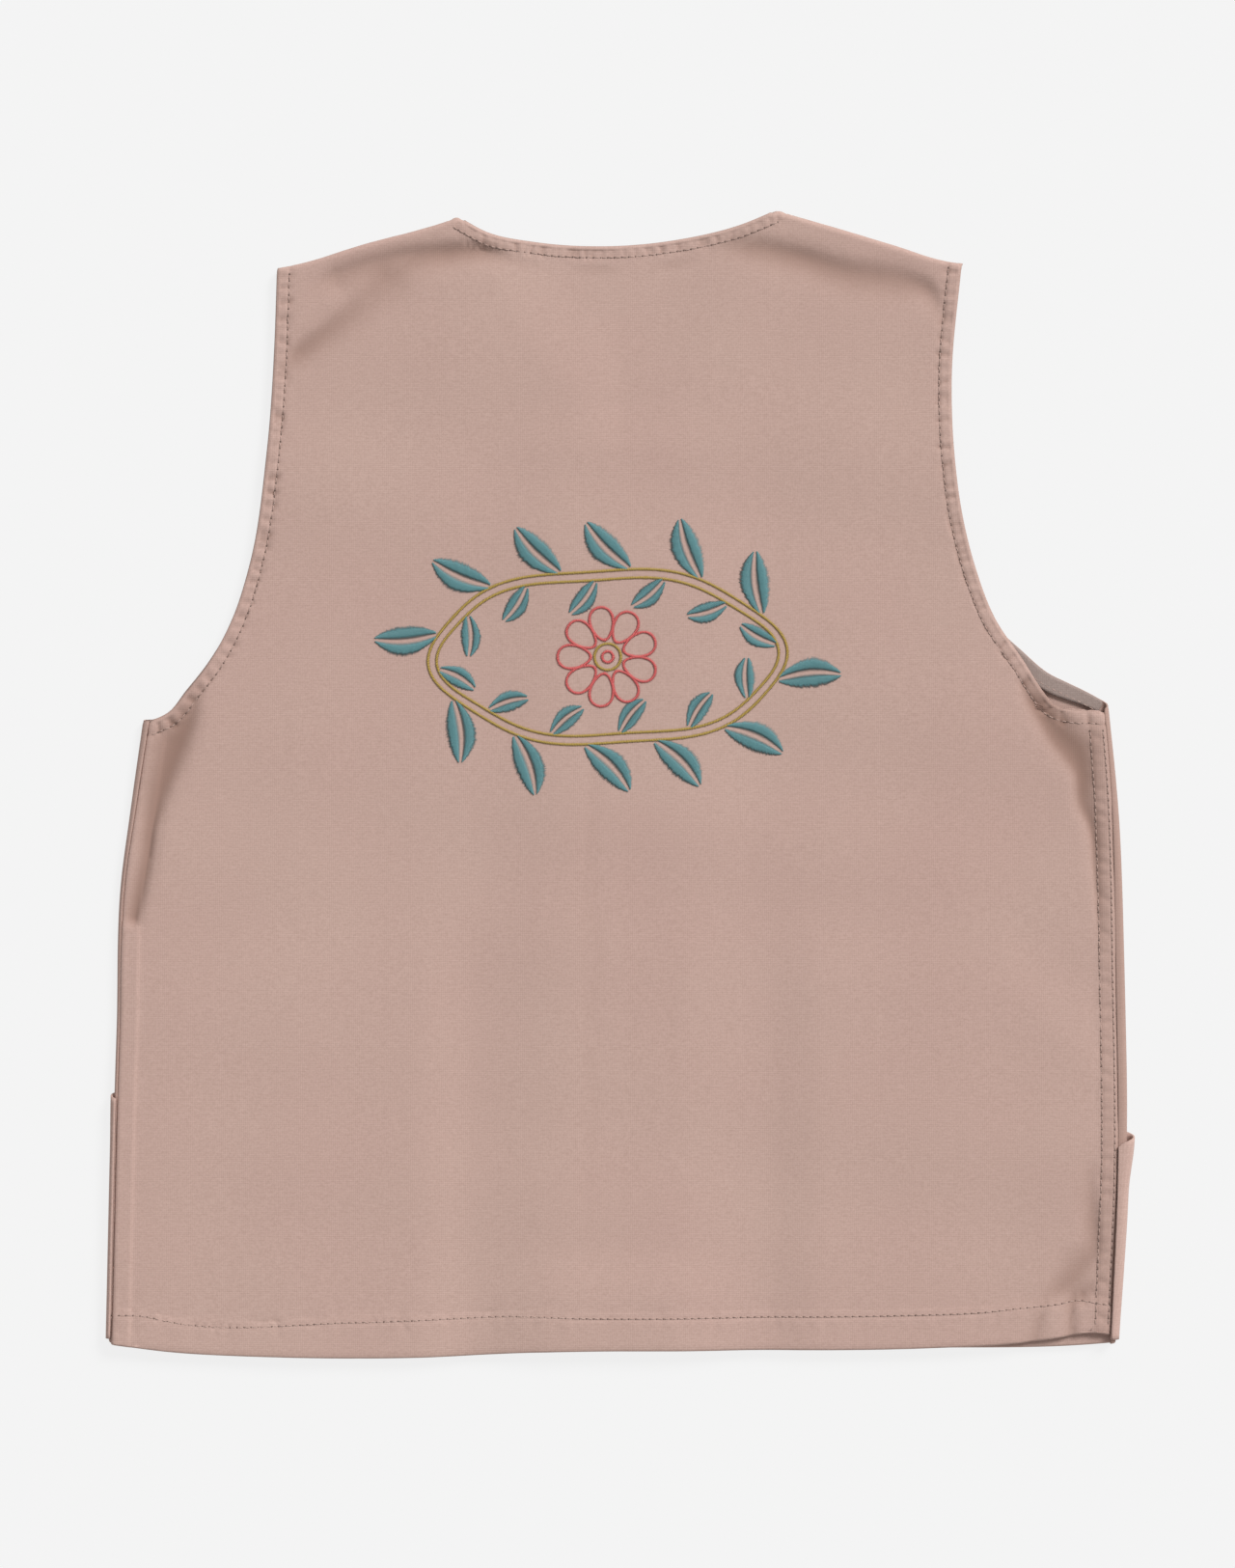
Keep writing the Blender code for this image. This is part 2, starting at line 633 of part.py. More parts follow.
def main():
    """Clears the scene and makes every piece of the waistcoat."""
    for thing in list(bpy.data.objects):
        bpy.data.objects.remove(thing)
    twill = make_material(TWILL)
    facing_twill = make_material(FACING_TWILL)
    resin = make_material(BUTTON_RESIN)
    Back().make("back", twill)
    for side, word in ((-1, "left"), (1, "right")):
        front = Front(side)
        front.make(f"front_{word}", twill)
        front.make_facing(f"armhole_facing_{word}", facing_twill)
        make_pocket(front, f"pocket_{word}", twill)
    step = (BUTTON_TOP_Y - BUTTON_BOTTOM_Y) / (BUTTON_COUNT - 1)
    for k in range(BUTTON_COUNT):
        make_button(f"button_{k + 1}", BUTTON_TOP_Y - k * step, resin)


main()
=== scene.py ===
"""Looks of a child's cotton waistcoat that lies flat with its back up.

Lengths are in millimetres and turn to metres as each mesh is made. X runs to the wearer's right, Y from
the hem to the neck and Z up from the surface. A place on a panel's flat cut is named across and up.
"""

import json
import logging
import math
from dataclasses import dataclass, field
from enum import Enum

import bmesh
import bpy
import numpy as np
from bmesh.types import BMesh
from bpy.types import Material, Node, NodeSocket, NodeTree, Object
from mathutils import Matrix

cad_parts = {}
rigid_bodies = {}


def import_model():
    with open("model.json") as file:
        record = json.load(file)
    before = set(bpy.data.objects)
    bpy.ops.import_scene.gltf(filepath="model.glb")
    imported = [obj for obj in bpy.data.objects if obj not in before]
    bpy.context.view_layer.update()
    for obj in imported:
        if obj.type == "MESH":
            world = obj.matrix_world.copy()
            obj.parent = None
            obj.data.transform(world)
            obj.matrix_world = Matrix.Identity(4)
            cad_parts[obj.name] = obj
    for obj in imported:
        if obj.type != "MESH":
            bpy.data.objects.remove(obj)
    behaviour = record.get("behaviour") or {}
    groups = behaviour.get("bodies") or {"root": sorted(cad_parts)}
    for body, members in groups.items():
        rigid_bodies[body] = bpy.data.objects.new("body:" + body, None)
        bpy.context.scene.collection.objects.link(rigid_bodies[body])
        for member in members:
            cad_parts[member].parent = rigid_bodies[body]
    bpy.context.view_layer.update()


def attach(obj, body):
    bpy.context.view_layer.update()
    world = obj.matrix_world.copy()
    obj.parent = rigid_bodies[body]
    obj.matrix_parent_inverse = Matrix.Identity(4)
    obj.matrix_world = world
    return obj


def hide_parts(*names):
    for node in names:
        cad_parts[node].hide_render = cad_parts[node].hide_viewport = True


MM = 0.001
BODY = "root"
LOG = logging.getLogger("waistcoat")
Array = np.ndarray
Table = tuple[tuple[float, ...], ...]
Colour = tuple[float, float, float, float]


class Side(Enum):
    """A side of the wearer, as the sign of its X."""

    LEFT = -1
    RIGHT = 1

    @property
    def word(self) -> str:
        """The side's name in piece names."""
        return self.name.lower()


class Slot(Enum):
    """The record's material slots."""

    CLOTH = "cotton_twill"
    INSIDE = "cotton_twill_inside"
    BUTTON = "button_resin"
    SEWING = "sewing_thread"
    TEAL = "teal_thread"
    CORAL = "coral_thread"
    MUSTARD = "mustard_thread"


def smooth_step(value: Array) -> Array:
    """0 below 0, 1 above 1, with an even ramp between them.

    Args:
        value: Any numbers.

    Returns:
        The eased numbers, from 0 to 1.
    """
    value = np.clip(value, 0.0, 1.0)
    return value * value * (3 - 2 * value)


class Line:
    """A smooth line through a short table of points, read at many places at once."""

    SAMPLES = 12

    def __init__(self, *tables: Table | Array) -> None:
        """Joins one line for each table, with a corner where two of them meet.

        Args:
            tables: Points (x, y), in order along the line.
        """
        self.dense = np.concatenate([self.smoothed(np.array(table, float)) for table in tables])
        runs = np.linalg.norm(np.diff(self.dense, axis=0), axis=1)
        keep = np.concatenate([[True], runs > 1e-6])
        self.dense = self.dense[keep]
        self.reach = np.concatenate([[0.0], np.cumsum(runs[runs > 1e-6])])

    def smoothed(self, points: Array) -> Array:
        """Dense points on a smooth line through these points."""
        ends = np.concatenate([[2 * points[0] - points[1]], points, [2 * points[-1] - points[-2]]])
        dense = []
        share = np.arange(self.SAMPLES)[:, None] / self.SAMPLES
        for before, a, b, after in zip(ends, ends[1:], ends[2:], ends[3:]):
            pairs = ((a, b), (before, a), (b, after))
            span, span_before, span_after = (np.linalg.norm(end - start) for start, end in pairs)
            slope_a = (b - a) / span * span_before + (a - before) / span_before * span
            slope_a /= span + span_before
            slope_b = (after - b) / span_after * span + (b - a) / span * span_after
            slope_b /= span + span_after
            square, cube = share**2, share**3
            dense.append(
                (2 * cube - 3 * square + 1) * a
                + (cube - 2 * square + share) * span * slope_a
                + (3 * square - 2 * cube) * b
                + (cube - square) * span * slope_b
            )
        return np.concatenate([*dense, points[-1:]])

    def at(self, share: Array) -> Array:
        """Points at these shares of the line's length, as rows (x, y)."""
        reach = np.asarray(share, float) * self.reach[-1]
        return np.stack([np.interp(reach, self.reach, self.dense[:, i]) for i in (0, 1)], axis=-1)

    def beside(self, distance: float) -> "Line":
        """A line this far to the left of this one."""
        run = np.gradient(self.dense, axis=0)
        left = np.stack([-run[:, 1], run[:, 0]], axis=1) / np.linalg.norm(run, axis=1, keepdims=True)
        moved = self.dense + left * distance
        return Line(np.concatenate([moved[:-1:6], moved[-1:]]))

    def y_at(self, x: Array) -> Array:
        """The line's y where it passes x."""
        return np.interp(x, self.dense[:, 0], self.dense[:, 1])

    def x_at(self, y: Array) -> Array:
        """The line's x where it passes y."""
        return np.interp(y, self.dense[:, 1], self.dense[:, 0])

    def nearest(self, x: Array, y: Array) -> tuple[Array, Array, Array]:
        """How far points lie from the line, and where along it.

        Args:
            x: The points' x.
            y: The points' y.

        Returns:
            The distance, the length of line up to the nearest place, and the side: +1 to its left.
        """
        best = np.full(len(x), 1e9)
        reach = np.zeros(len(x))
        side = np.ones(len(x))
        for k, (start, end) in enumerate(zip(self.dense, self.dense[1:])):
            run = end - start
            length = np.linalg.norm(run)
            share = np.clip(((x - start[0]) * run[0] + (y - start[1]) * run[1]) / length**2, 0, 1)
            off_x = x - start[0] - share * run[0]
            off_y = y - start[1] - share * run[1]
            away = np.hypot(off_x, off_y)
            closer = away < best
            best = np.where(closer, away, best)
            reach = np.where(closer, self.reach[k] + share * length, reach)
            side = np.where(closer, np.sign(run[0] * off_y - run[1] * off_x), side)
        return best, reach, side


@dataclass(frozen=True)
class Make:
    """Sizes of the cloth and of how it is sewn, the same all over the garment."""

    cloth: float = 1.0
    wall: float = 0.7
    seam_gap: float = 0.3
    seam_open: float = 0.1
    hem_depth: float = 15.0
    fold_radius: float = 2.0
    seam_degrees: float = 6.0
    lap: float = 9.0
    lap_margin: float = 4.0
    ramp: float = 24.0
    button_radius: float = 7.5
    button_thickness: float = 2.0
    button_top_y: float = 104.0
    button_bottom_y: float = -164.0
    button_end_margin: float = 12.0
    button_count: int = 5
    underarm: float = 0.55
    top_share: float = 0.993
    edge_reach: float = 85.0
    neck_margin: float = 2.5
    neck_band: float = 4.6
    arm_band: float = 4.9
    facing: float = 6.6
    fell_near: float = 1.2
    fell_far: float = 6.3
    stitch_pitch: float = 2.75

    @property
    def layer(self) -> float:
        """From the middle of one cloth to the middle of the next on it."""
        return self.cloth + self.seam_gap

    @property
    def hem_turn(self) -> float:
        """Radius of the hem's fold."""
        return self.layer / 2

    @property
    def fold_from_hem(self) -> float:
        """From the hem's lowest point to the start of its fold."""
        return self.hem_turn + self.cloth / 2


MAKE = Make()


@dataclass(frozen=True)
class Pocket:
    """Place of a slanted patch pocket on a front's flat cut."""

    inner: float = 85.0
    mouth_inner: float = 150.0
    top_y: float = -95.0
    mouth_side_y: float = -143.0
    left_mouth_side_y: float = -124.0
    above_hem: float = 2.0
    ramp: float = 38.0
    margin: float = 12.0
    side: float = 200.0
    gape: float = 1.8
    left_gape: float = 0.2
    gape_length: float = 22.0

    def share(self, across: Array, y: Array) -> Array:
        """1 over a pocket, 0 away from it."""
        slope = (self.top_y - self.mouth_side_y) / (self.side - self.mouth_inner)
        top = self.top_y - np.maximum(0.0, across - self.mouth_inner) * slope
        inward = smooth_step((across - self.inner + MAKE.ramp + MAKE.lap_margin) / MAKE.ramp)
        return inward * smooth_step((top + self.margin + self.ramp - y) / self.ramp)


POCKET = Pocket()
PLAN_EDGES = {
    Side.LEFT: Line(((-201.4, -224.0), (-198.4, -96.0), (-196.7, -39.0), (-193.0, -11.0), (-187.2, 30.0))),
    Side.RIGHT: Line(((195.0, -224.0), (199.4, -153.0), (198.8, -68.0), (196.6, -11.0), (192.0, 36.0))),
}
SEAM_INSETS = {
    Side.LEFT: Line(((1.2, -224.0), (1.4, -100.0), (1.6, -60.0), (2.2, -20.0), (3.0, 36.0))),
    Side.RIGHT: Line(((2.4, -224.0), (3.9, -150.0), (3.6, -40.0), (2.0, 36.0))),
}
BACK_HEM = Line((
    (-203.0, -220.6), (-176.0, -224.0), (-138.0, -225.9), (-71.0, -225.9), (-33.0, -224.0), (43.0, -223.3),
    (120.0, -222.4), (157.0, -220.4), (172.0, -218.4), (185.0, -216.4), (198.0, -217.8),
))
FRONT_HEM = Line((
    (-203.0, -220.0), (-157.0, -224.4), (-71.0, -224.9), (-33.0, -223.2), (43.0, -222.9), (120.0, -222.6),
    (180.0, -221.6), (203.0, -219.8),
))
BACK_ARMHOLES = {
    Side.LEFT: Line((
        (-185.0, 24.0), (-178.0, 27.3), (-170.6, 35.8), (-162.4, 46.2), (-152.2, 65.2), (-146.1, 84.2),
        (-138.7, 131.7), (-136.0, 169.7), (-134.8, 203.0),
    )),
    Side.RIGHT: Line((
        (190.2, 28.0), (183.4, 28.4), (176.6, 29.0), (170.6, 31.2), (166.6, 36.0), (158.7, 48.1),
        (147.3, 65.2), (140.0, 84.2), (135.1, 103.2), (131.3, 131.7), (130.5, 160.2), (134.4, 204.8),
    )),
}
LEFT_SHOULDER = ((-134.8, 203.0), (-128.3, 204.2), (-99.8, 212.6), (-71.3, 220.4), (-63.7, 222.9))
RIGHT_SHOULDER = ((61.8, 225.5), (71.3, 222.8), (109.3, 211.5), (127.0, 206.0), (134.4, 204.8))
NECK_TABLE = (
    (-63.7, 222.9), (-52.3, 216.8), (-33.3, 213.0), (-5.0, 211.4), (24.0, 214.2), (47.0, 219.6),
    (61.8, 225.5),
)
BACK_NECK = Line(NECK_TABLE)
HEM_ROW = Line((
    (-202.3, -209.2), (-187.2, -209.6), (-175.8, -212.0), (-107.3, -212.2), (-66.7, -210.7), (-39.7, -209.6),
    (-19.2, -210.2), (62.1, -209.9), (113.0, -209.2), (143.5, -208.0), (157.1, -206.5), (172.7, -204.8),
    (179.0, -203.6), (187.4, -204.4), (196.1, -206.0),
))
BACK_TOP = Line(LEFT_SHOULDER, NECK_TABLE, RIGHT_SHOULDER)
FRONT_NECK = ((-MAKE.lap, 112.0), (14.0, 138.0), (40.0, 176.0), (55.0, 205.0))
FRONT_TOPS = {
    Side.LEFT: Line(FRONT_NECK + ((63.7, 222.9),), tuple((-x, y) for x, y in reversed(LEFT_SHOULDER))),
    Side.RIGHT: Line(FRONT_NECK + ((61.8, 225.5),), RIGHT_SHOULDER),
}
FRONT_ARMHOLES = {
    Side.LEFT: (
        (184.8, 24.9), (178.4, 27.7), (171.2, 36.4), (163.0, 46.7), (151.9, 66.0), (144.5, 86.0),
        (136.5, 131.0), (133.0, 168.0), (134.2, 202.4),
    ),
    Side.RIGHT: (
        (188.8, 33.4), (183.4, 36.3), (176.5, 39.6), (169.7, 42.9), (158.3, 52.4), (149.2, 61.0),
        (136.0, 88.0), (128.0, 130.0), (127.5, 165.0), (133.6, 204.0),
    ),
}
NECK_POINTS = {Side.LEFT: 63.7, Side.RIGHT: 61.8}
UNDERARM_Y = {Side.LEFT: 24.4, Side.RIGHT: 29.0}


def fold_start(side: Side, y: Array) -> Array:
    """How far from the centre the front starts to turn up round its side edge."""
    return np.abs(PLAN_EDGES[side].x_at(y)) - MAKE.fold_radius - MAKE.cloth / 2


def seam_past_start(side: Side, y: Array) -> Array:
    """How far out of the start of the side turn the seam lies, on top."""
    seam = np.abs(PLAN_EDGES[side].x_at(y)) - SEAM_INSETS[side].x_at(y)
    return seam - fold_start(side, y)


def seam_lean(past_start: Array) -> Array:
    """Angle, from the top of the side turn, of a seam this far past the turn's start."""
    return np.arcsin(np.clip(past_start / (MAKE.fold_radius + MAKE.cloth / 2), 0.0, 1.0))


def turn_to_seam(side: Side, y: Array) -> Array:
    """Length of cloth from the start of the side turn to the seam."""
    past = seam_past_start(side, y)
    radius = MAKE.fold_radius
    return np.where(past <= 0, math.pi * radius - past, (math.pi - seam_lean(past)) * radius)


def back_end(side: Side, y: Array) -> Array:
    """How far from the centre the middle of the back's wall ends, half a gap short of the side seam."""
    start = fold_start(side, y)
    past = seam_past_start(side, y)
    half_gap = MAKE.seam_open / 2
    leaning = start + MAKE.fold_radius * np.sin(seam_lean(past) - half_gap / MAKE.fold_radius)
    return np.where(past <= 0, start + past - half_gap, leaning)


@dataclass(frozen=True)
class Trough:
    """A soft crease pressed into the back; dark scales the painted shade in it. Each node is (x, y, depth,
    half width).
    """

    nodes: Table
    steep: float = 0.75
    gentle: float = 1.35
    steep_side: int = 1
    dark: float = 1.0

    def depth(self, x: Array, y: Array) -> Array:
        """How far this crease presses the cloth down.

        Args:
            x: The points' x.
            y: The points' y.

        Returns:
            The depth at each point.
        """
        table = np.array(self.nodes)
        line = Line(table[:, :2])
        wide = table[:, 3].max() * 3 + 4
        near = (x > table[:, 0].min() - wide) & (x < table[:, 0].max() + wide)
        near &= (y > table[:, 1].min() - wide) & (y < table[:, 1].max() + wide)
        found = np.zeros(len(x))
        if not near.any():
            return found
        away, reach, side = line.nearest(x[near], y[near])
        marks = line.reach[:: Line.SAMPLES]
        depth, width = (np.interp(reach, marks, table[:, i]) for i in (2, 3))
        width = width * np.where(side == self.steep_side, self.steep, self.gentle)
        found[near] = depth * np.exp(-((away / width) ** 2))
        return found


TROUGHS = (
    # Under the left shoulder
    Trough((
        (-119.0, 196.0, 0.5, 4.0), (-112.0, 199.5, 1.5, 5.5), (-92.0, 206.2, 1.6, 5.5),
        (-69.0, 209.0, 2.5, 4.6), (-53.0, 209.8, 2.3, 3.8), (-42.0, 207.5, 0.3, 4.0),
    ), dark=0.62),
    Trough((
        (-132.0, 164.0, 0.6, 3.0), (-126.0, 170.0, 1.3, 4.0), (-115.0, 178.5, 1.1, 4.5),
        (-101.0, 190.0, 0.7, 5.5), (-92.0, 198.0, 0.8, 7.0),
    )),
    # Under the right shoulder
    Trough((
        (38.0, 211.0, 0.3, 5.0), (50.0, 211.3, 1.5, 5.0), (71.0, 207.3, 1.9, 5.2), (90.0, 201.5, 1.7, 6.0),
        (109.0, 198.6, 1.5, 6.0), (121.0, 194.5, 1.5, 4.0), (126.5, 186.0, 0.5, 3.0),
    ), dark=0.8),
    # From the left underarm down the side
    Trough((
        (-166.0, 40.0, 0.2, 4.0), (-167.5, 32.0, 1.0, 3.6), (-170.5, 23.0, 1.9, 5.0),
        (-174.5, 14.5, 2.1, 6.5), (-177.5, 6.0, 2.0, 5.6), (-181.0, -4.0, 1.9, 4.8),
        (-184.5, -18.0, 1.8, 3.0), (-186.0, -30.0, 1.8, 2.8), (-189.0, -44.0, 1.8, 3.0),
        (-191.0, -53.5, 1.8, 2.8), (-191.6, -57.5, 0.1, 2.5),
    )),
    # From the right underarm down the side
    Trough((
        (158.0, 40.0, 0.3, 3.5), (162.5, 32.0, 1.5, 4.4), (167.4, 25.0, 1.8, 5.0), (172.0, 18.0, 1.9, 5.6),
        (178.0, 11.0, 2.0, 6.0), (181.0, 4.0, 1.7, 4.2), (182.0, -8.0, 1.4, 3.6), (185.0, -16.0, 1.3, 2.5),
        (187.0, -36.0, 0.9, 2.0), (188.5, -60.0, 0.3, 2.0),
    ), steep_side=-1, dark=1.3),
    # Round the lifted lower right corner
    Trough((
        (184.5, -150.0, 0.2, 3.0), (186.0, -172.0, 1.0, 3.0), (186.0, -184.0, 1.0, 4.0),
        (180.0, -192.0, 1.1, 5.0), (174.0, -198.5, 1.1, 4.0), (165.0, -203.5, 0.2, 3.0),
    )),
    Trough(((188.0, -196.0, 0.2, 3.0), (182.0, -201.6, 1.2, 3.4), (176.0, -205.0, 0.3, 3.0))),
    Trough(((178.5, -203.0, 0.5, 2.2), (177.5, -209.0, 0.9, 2.0), (178.0, -216.0, 0.9, 2.4))),
    Trough(((167.0, -205.0, 0.3, 2.4), (165.0, -211.0, 0.6, 2.4), (163.0, -219.0, 0.7, 3.0))),
    # The two faint upright creases
    Trough((
        (-10.0, 126.0, 0.02, 3.0), (-9.0, 60.0, 0.14, 2.6), (-11.0, -60.0, 0.16, 2.4),
        (-11.0, -190.0, 0.04, 3.0),
    )),
    Trough(((21.0, -60.0, 0.02, 2.6), (20.6, -90.0, 0.14, 2.2), (21.4, -125.0, 0.02, 2.6))),
)
CREASE_FOR_FULL_SHADE = 2.0


@dataclass(frozen=True)
class Puckers:
    """Small gathers that a row of stitches pulls into a turned band."""

    spacing: float
    depth: float
    width: float
    outer: float
    inner: float
    seed: int

    def depth_at(self, away: Array, reach: Array, length: float) -> Array:
        """How far the gathers press the cloth down.

        Args:
            away: Distance from the band's edge.
            reach: Length along the edge.
            length: Whole length of the edge.

        Returns:
            The depth at each point.
        """
        found = np.zeros(len(away))
        near = (away > self.outer - 1) & (away < self.inner + 6)
        if not near.any():
            return found
        draw = np.random.default_rng(self.seed)
        near_away, near_reach = away[near], reach[near]
        total = np.zeros(len(near_away))
        place = 0.0
        while place < length:
            place += self.spacing * draw.uniform(0.45, 1.6)
            deep = self.depth * draw.uniform(0.3, 1.0)
            width = self.width * draw.uniform(0.7, 1.4)
            lean = draw.uniform(-0.35, 0.35)
            beyond = draw.uniform(-0.5, 1.0)
            off = near_reach - place - lean * (near_away - self.outer)
            window = smooth_step((near_away - self.outer) / 1.2)
            window = window * smooth_step((self.inner + beyond + 1.4 - near_away) / 1.8)
            total += deep * np.exp(-((off / width) ** 2)) * window
        found[near] = total
        return found


class Heights:
    """Heights of the layers above the surface, at the middle of each wall."""

    BACK_OVER_FRONT = 4.0
    NECK_SINK = 1.6
    NECK_SINK_RAMP = 60.0
    RISE_OVER_BUTTONS = 1.3
    RISE_OVER_LAPPED_HEM = 3.0
    CREASE_CLEAR = 1.5
    CREASE_FADE = 7.0

    @staticmethod
    def base(x: Array, y: Array) -> Array:
        """A front over the pockets, away from the lap."""
        return MAKE.cloth / 2 + MAKE.layer * POCKET.share(np.abs(x), y)

    @staticmethod
    def button_strip(x: Array, y: Array) -> Array:
        """1 over the row of buttons, 0 away from it."""
        across = smooth_step((MAKE.button_radius + MAKE.lap_margin + MAKE.ramp - np.abs(x)) / MAKE.ramp)
        low = MAKE.button_bottom_y - MAKE.button_radius - MAKE.button_end_margin - MAKE.ramp
        return across * smooth_step((y - low) / MAKE.ramp)

    @classmethod
    def front(cls, side: Side, x: Array, y: Array) -> Array:
        """A front's wall. The left front is the outer one of the lap."""
        height = cls.base(x, y) + (MAKE.button_thickness + MAKE.seam_gap) * cls.button_strip(x, y)
        if side is Side.RIGHT:
            over_hem = FRONT_HEM.y_at(x) + MAKE.hem_depth + MAKE.lap_margin + MAKE.ramp - y
            lift = MAKE.layer * (1 + smooth_step(over_hem / MAKE.ramp))
            height = height + lift * smooth_step((MAKE.lap + MAKE.lap_margin + MAKE.ramp - x) / MAKE.ramp)
        return height

    @staticmethod
    def side_drop(x: Array, y: Array) -> Array:
        """How far the back curls down within the turn of the cloth at its side edges."""
        found = np.zeros(len(x))
        radius = MAKE.fold_radius
        for side in Side:
            mask = (x * side.value > 0) & (y <= PLAN_EDGES[side].dense[-1, 1])
            past = np.maximum(np.abs(x) - fold_start(side, y), 0.0)
            drop = radius - np.sqrt(np.maximum(radius**2 - past**2, 0.0))
            found = np.where(mask, drop, found)
        return found

    @classmethod
    def back(cls, x: Array, y: Array) -> Array:
        """The back's wall, with its main creases."""
        hem_top = BACK_HEM.y_at(x) + MAKE.hem_depth
        over_hem = smooth_step((hem_top + MAKE.lap_margin + MAKE.ramp - y) / MAKE.ramp)
        half = MAKE.lap + MAKE.lap_margin + 2 * MAKE.ramp
        across = smooth_step((half - np.abs(x)) / (2 * MAKE.ramp - MAKE.lap_margin))
        above = smooth_step((MAKE.button_top_y + 2 * MAKE.ramp - y) / MAKE.ramp)
        rise = cls.RISE_OVER_BUTTONS + (cls.RISE_OVER_LAPPED_HEM - cls.RISE_OVER_BUTTONS) * over_hem
        sink = np.zeros(len(x))
        for side in Side:
            inside = (x * side.value > 0) & (np.abs(x) < NECK_POINTS[side])
            past_neck = y - FRONT_TOPS[side].y_at(np.abs(x))
            sink = np.where(inside, cls.NECK_SINK * smooth_step(past_neck / cls.NECK_SINK_RAMP), sink)
        creases = sum(trough.depth(x, y) for trough in TROUGHS)
        from_top = BACK_TOP.y_at(x) - y
        creases = creases * smooth_step((from_top - cls.CREASE_CLEAR) / cls.CREASE_FADE)
        level = cls.base(x, y) + cls.BACK_OVER_FRONT + rise * across * above
        return level - sink - creases - cls.side_drop(x, y)


class Ripples:
    """Faint waves that any laid cloth keeps, as a few sums of sines with fixed draws."""

    def __init__(self, seed: int, wavelengths: tuple[float, float], height: float, count: int) -> None:
        """Draws the waves.

        Args:
            seed: Seed of the draws.
            wavelengths: Shortest and longest wave.
            height: Height of all the waves together.
            count: Number of waves.
        """
        draw = np.random.default_rng(seed)
        lengths = draw.uniform(*wavelengths, count)
        angles = draw.uniform(0, math.tau, count)
        self.steps = np.stack([np.cos(angles), np.sin(angles)]) * math.tau / lengths
        self.phases = draw.uniform(0, math.tau, count)
        self.height = height / math.sqrt(count)

    def at(self, x: Array, y: Array) -> Array:
        """Height of the waves at these places."""
        angles = np.outer(x, self.steps[0]) + np.outer(y, self.steps[1]) + self.phases
        return np.sin(angles).sum(axis=1) * self.height


@dataclass(frozen=True)
class Grain:
    """Cells of a panel's mesh: how many, and where they are split for detail."""

    columns: tuple[tuple[float, float, int], ...]
    rows: int
    fold_rows: int = 6
    hem_rows: int = 4
    curl_rows: int = 6

    def column_marks(self) -> Array:
        """Shares of the width at which the mesh has a column."""
        marks = [0.0]
        for start, end, steps in self.columns:
            marks += [start + (end - start) * (k + 1) / steps for k in range(steps)]
        return np.array(marks)

    def row_marks(self) -> Array:
        """Rows of the mesh: 0 to 1 is turned up, 1 to 2 the fold, 2 to 3 open cloth, 3 to 5 the top."""
        return np.concatenate([
            np.linspace(0, 1, self.hem_rows), np.linspace(1, 2, self.fold_rows + 1)[1:],
            np.linspace(2, 3, self.rows + 1)[1:], [4.0], np.linspace(4, 5, self.curl_rows + 1)[1:],
        ])


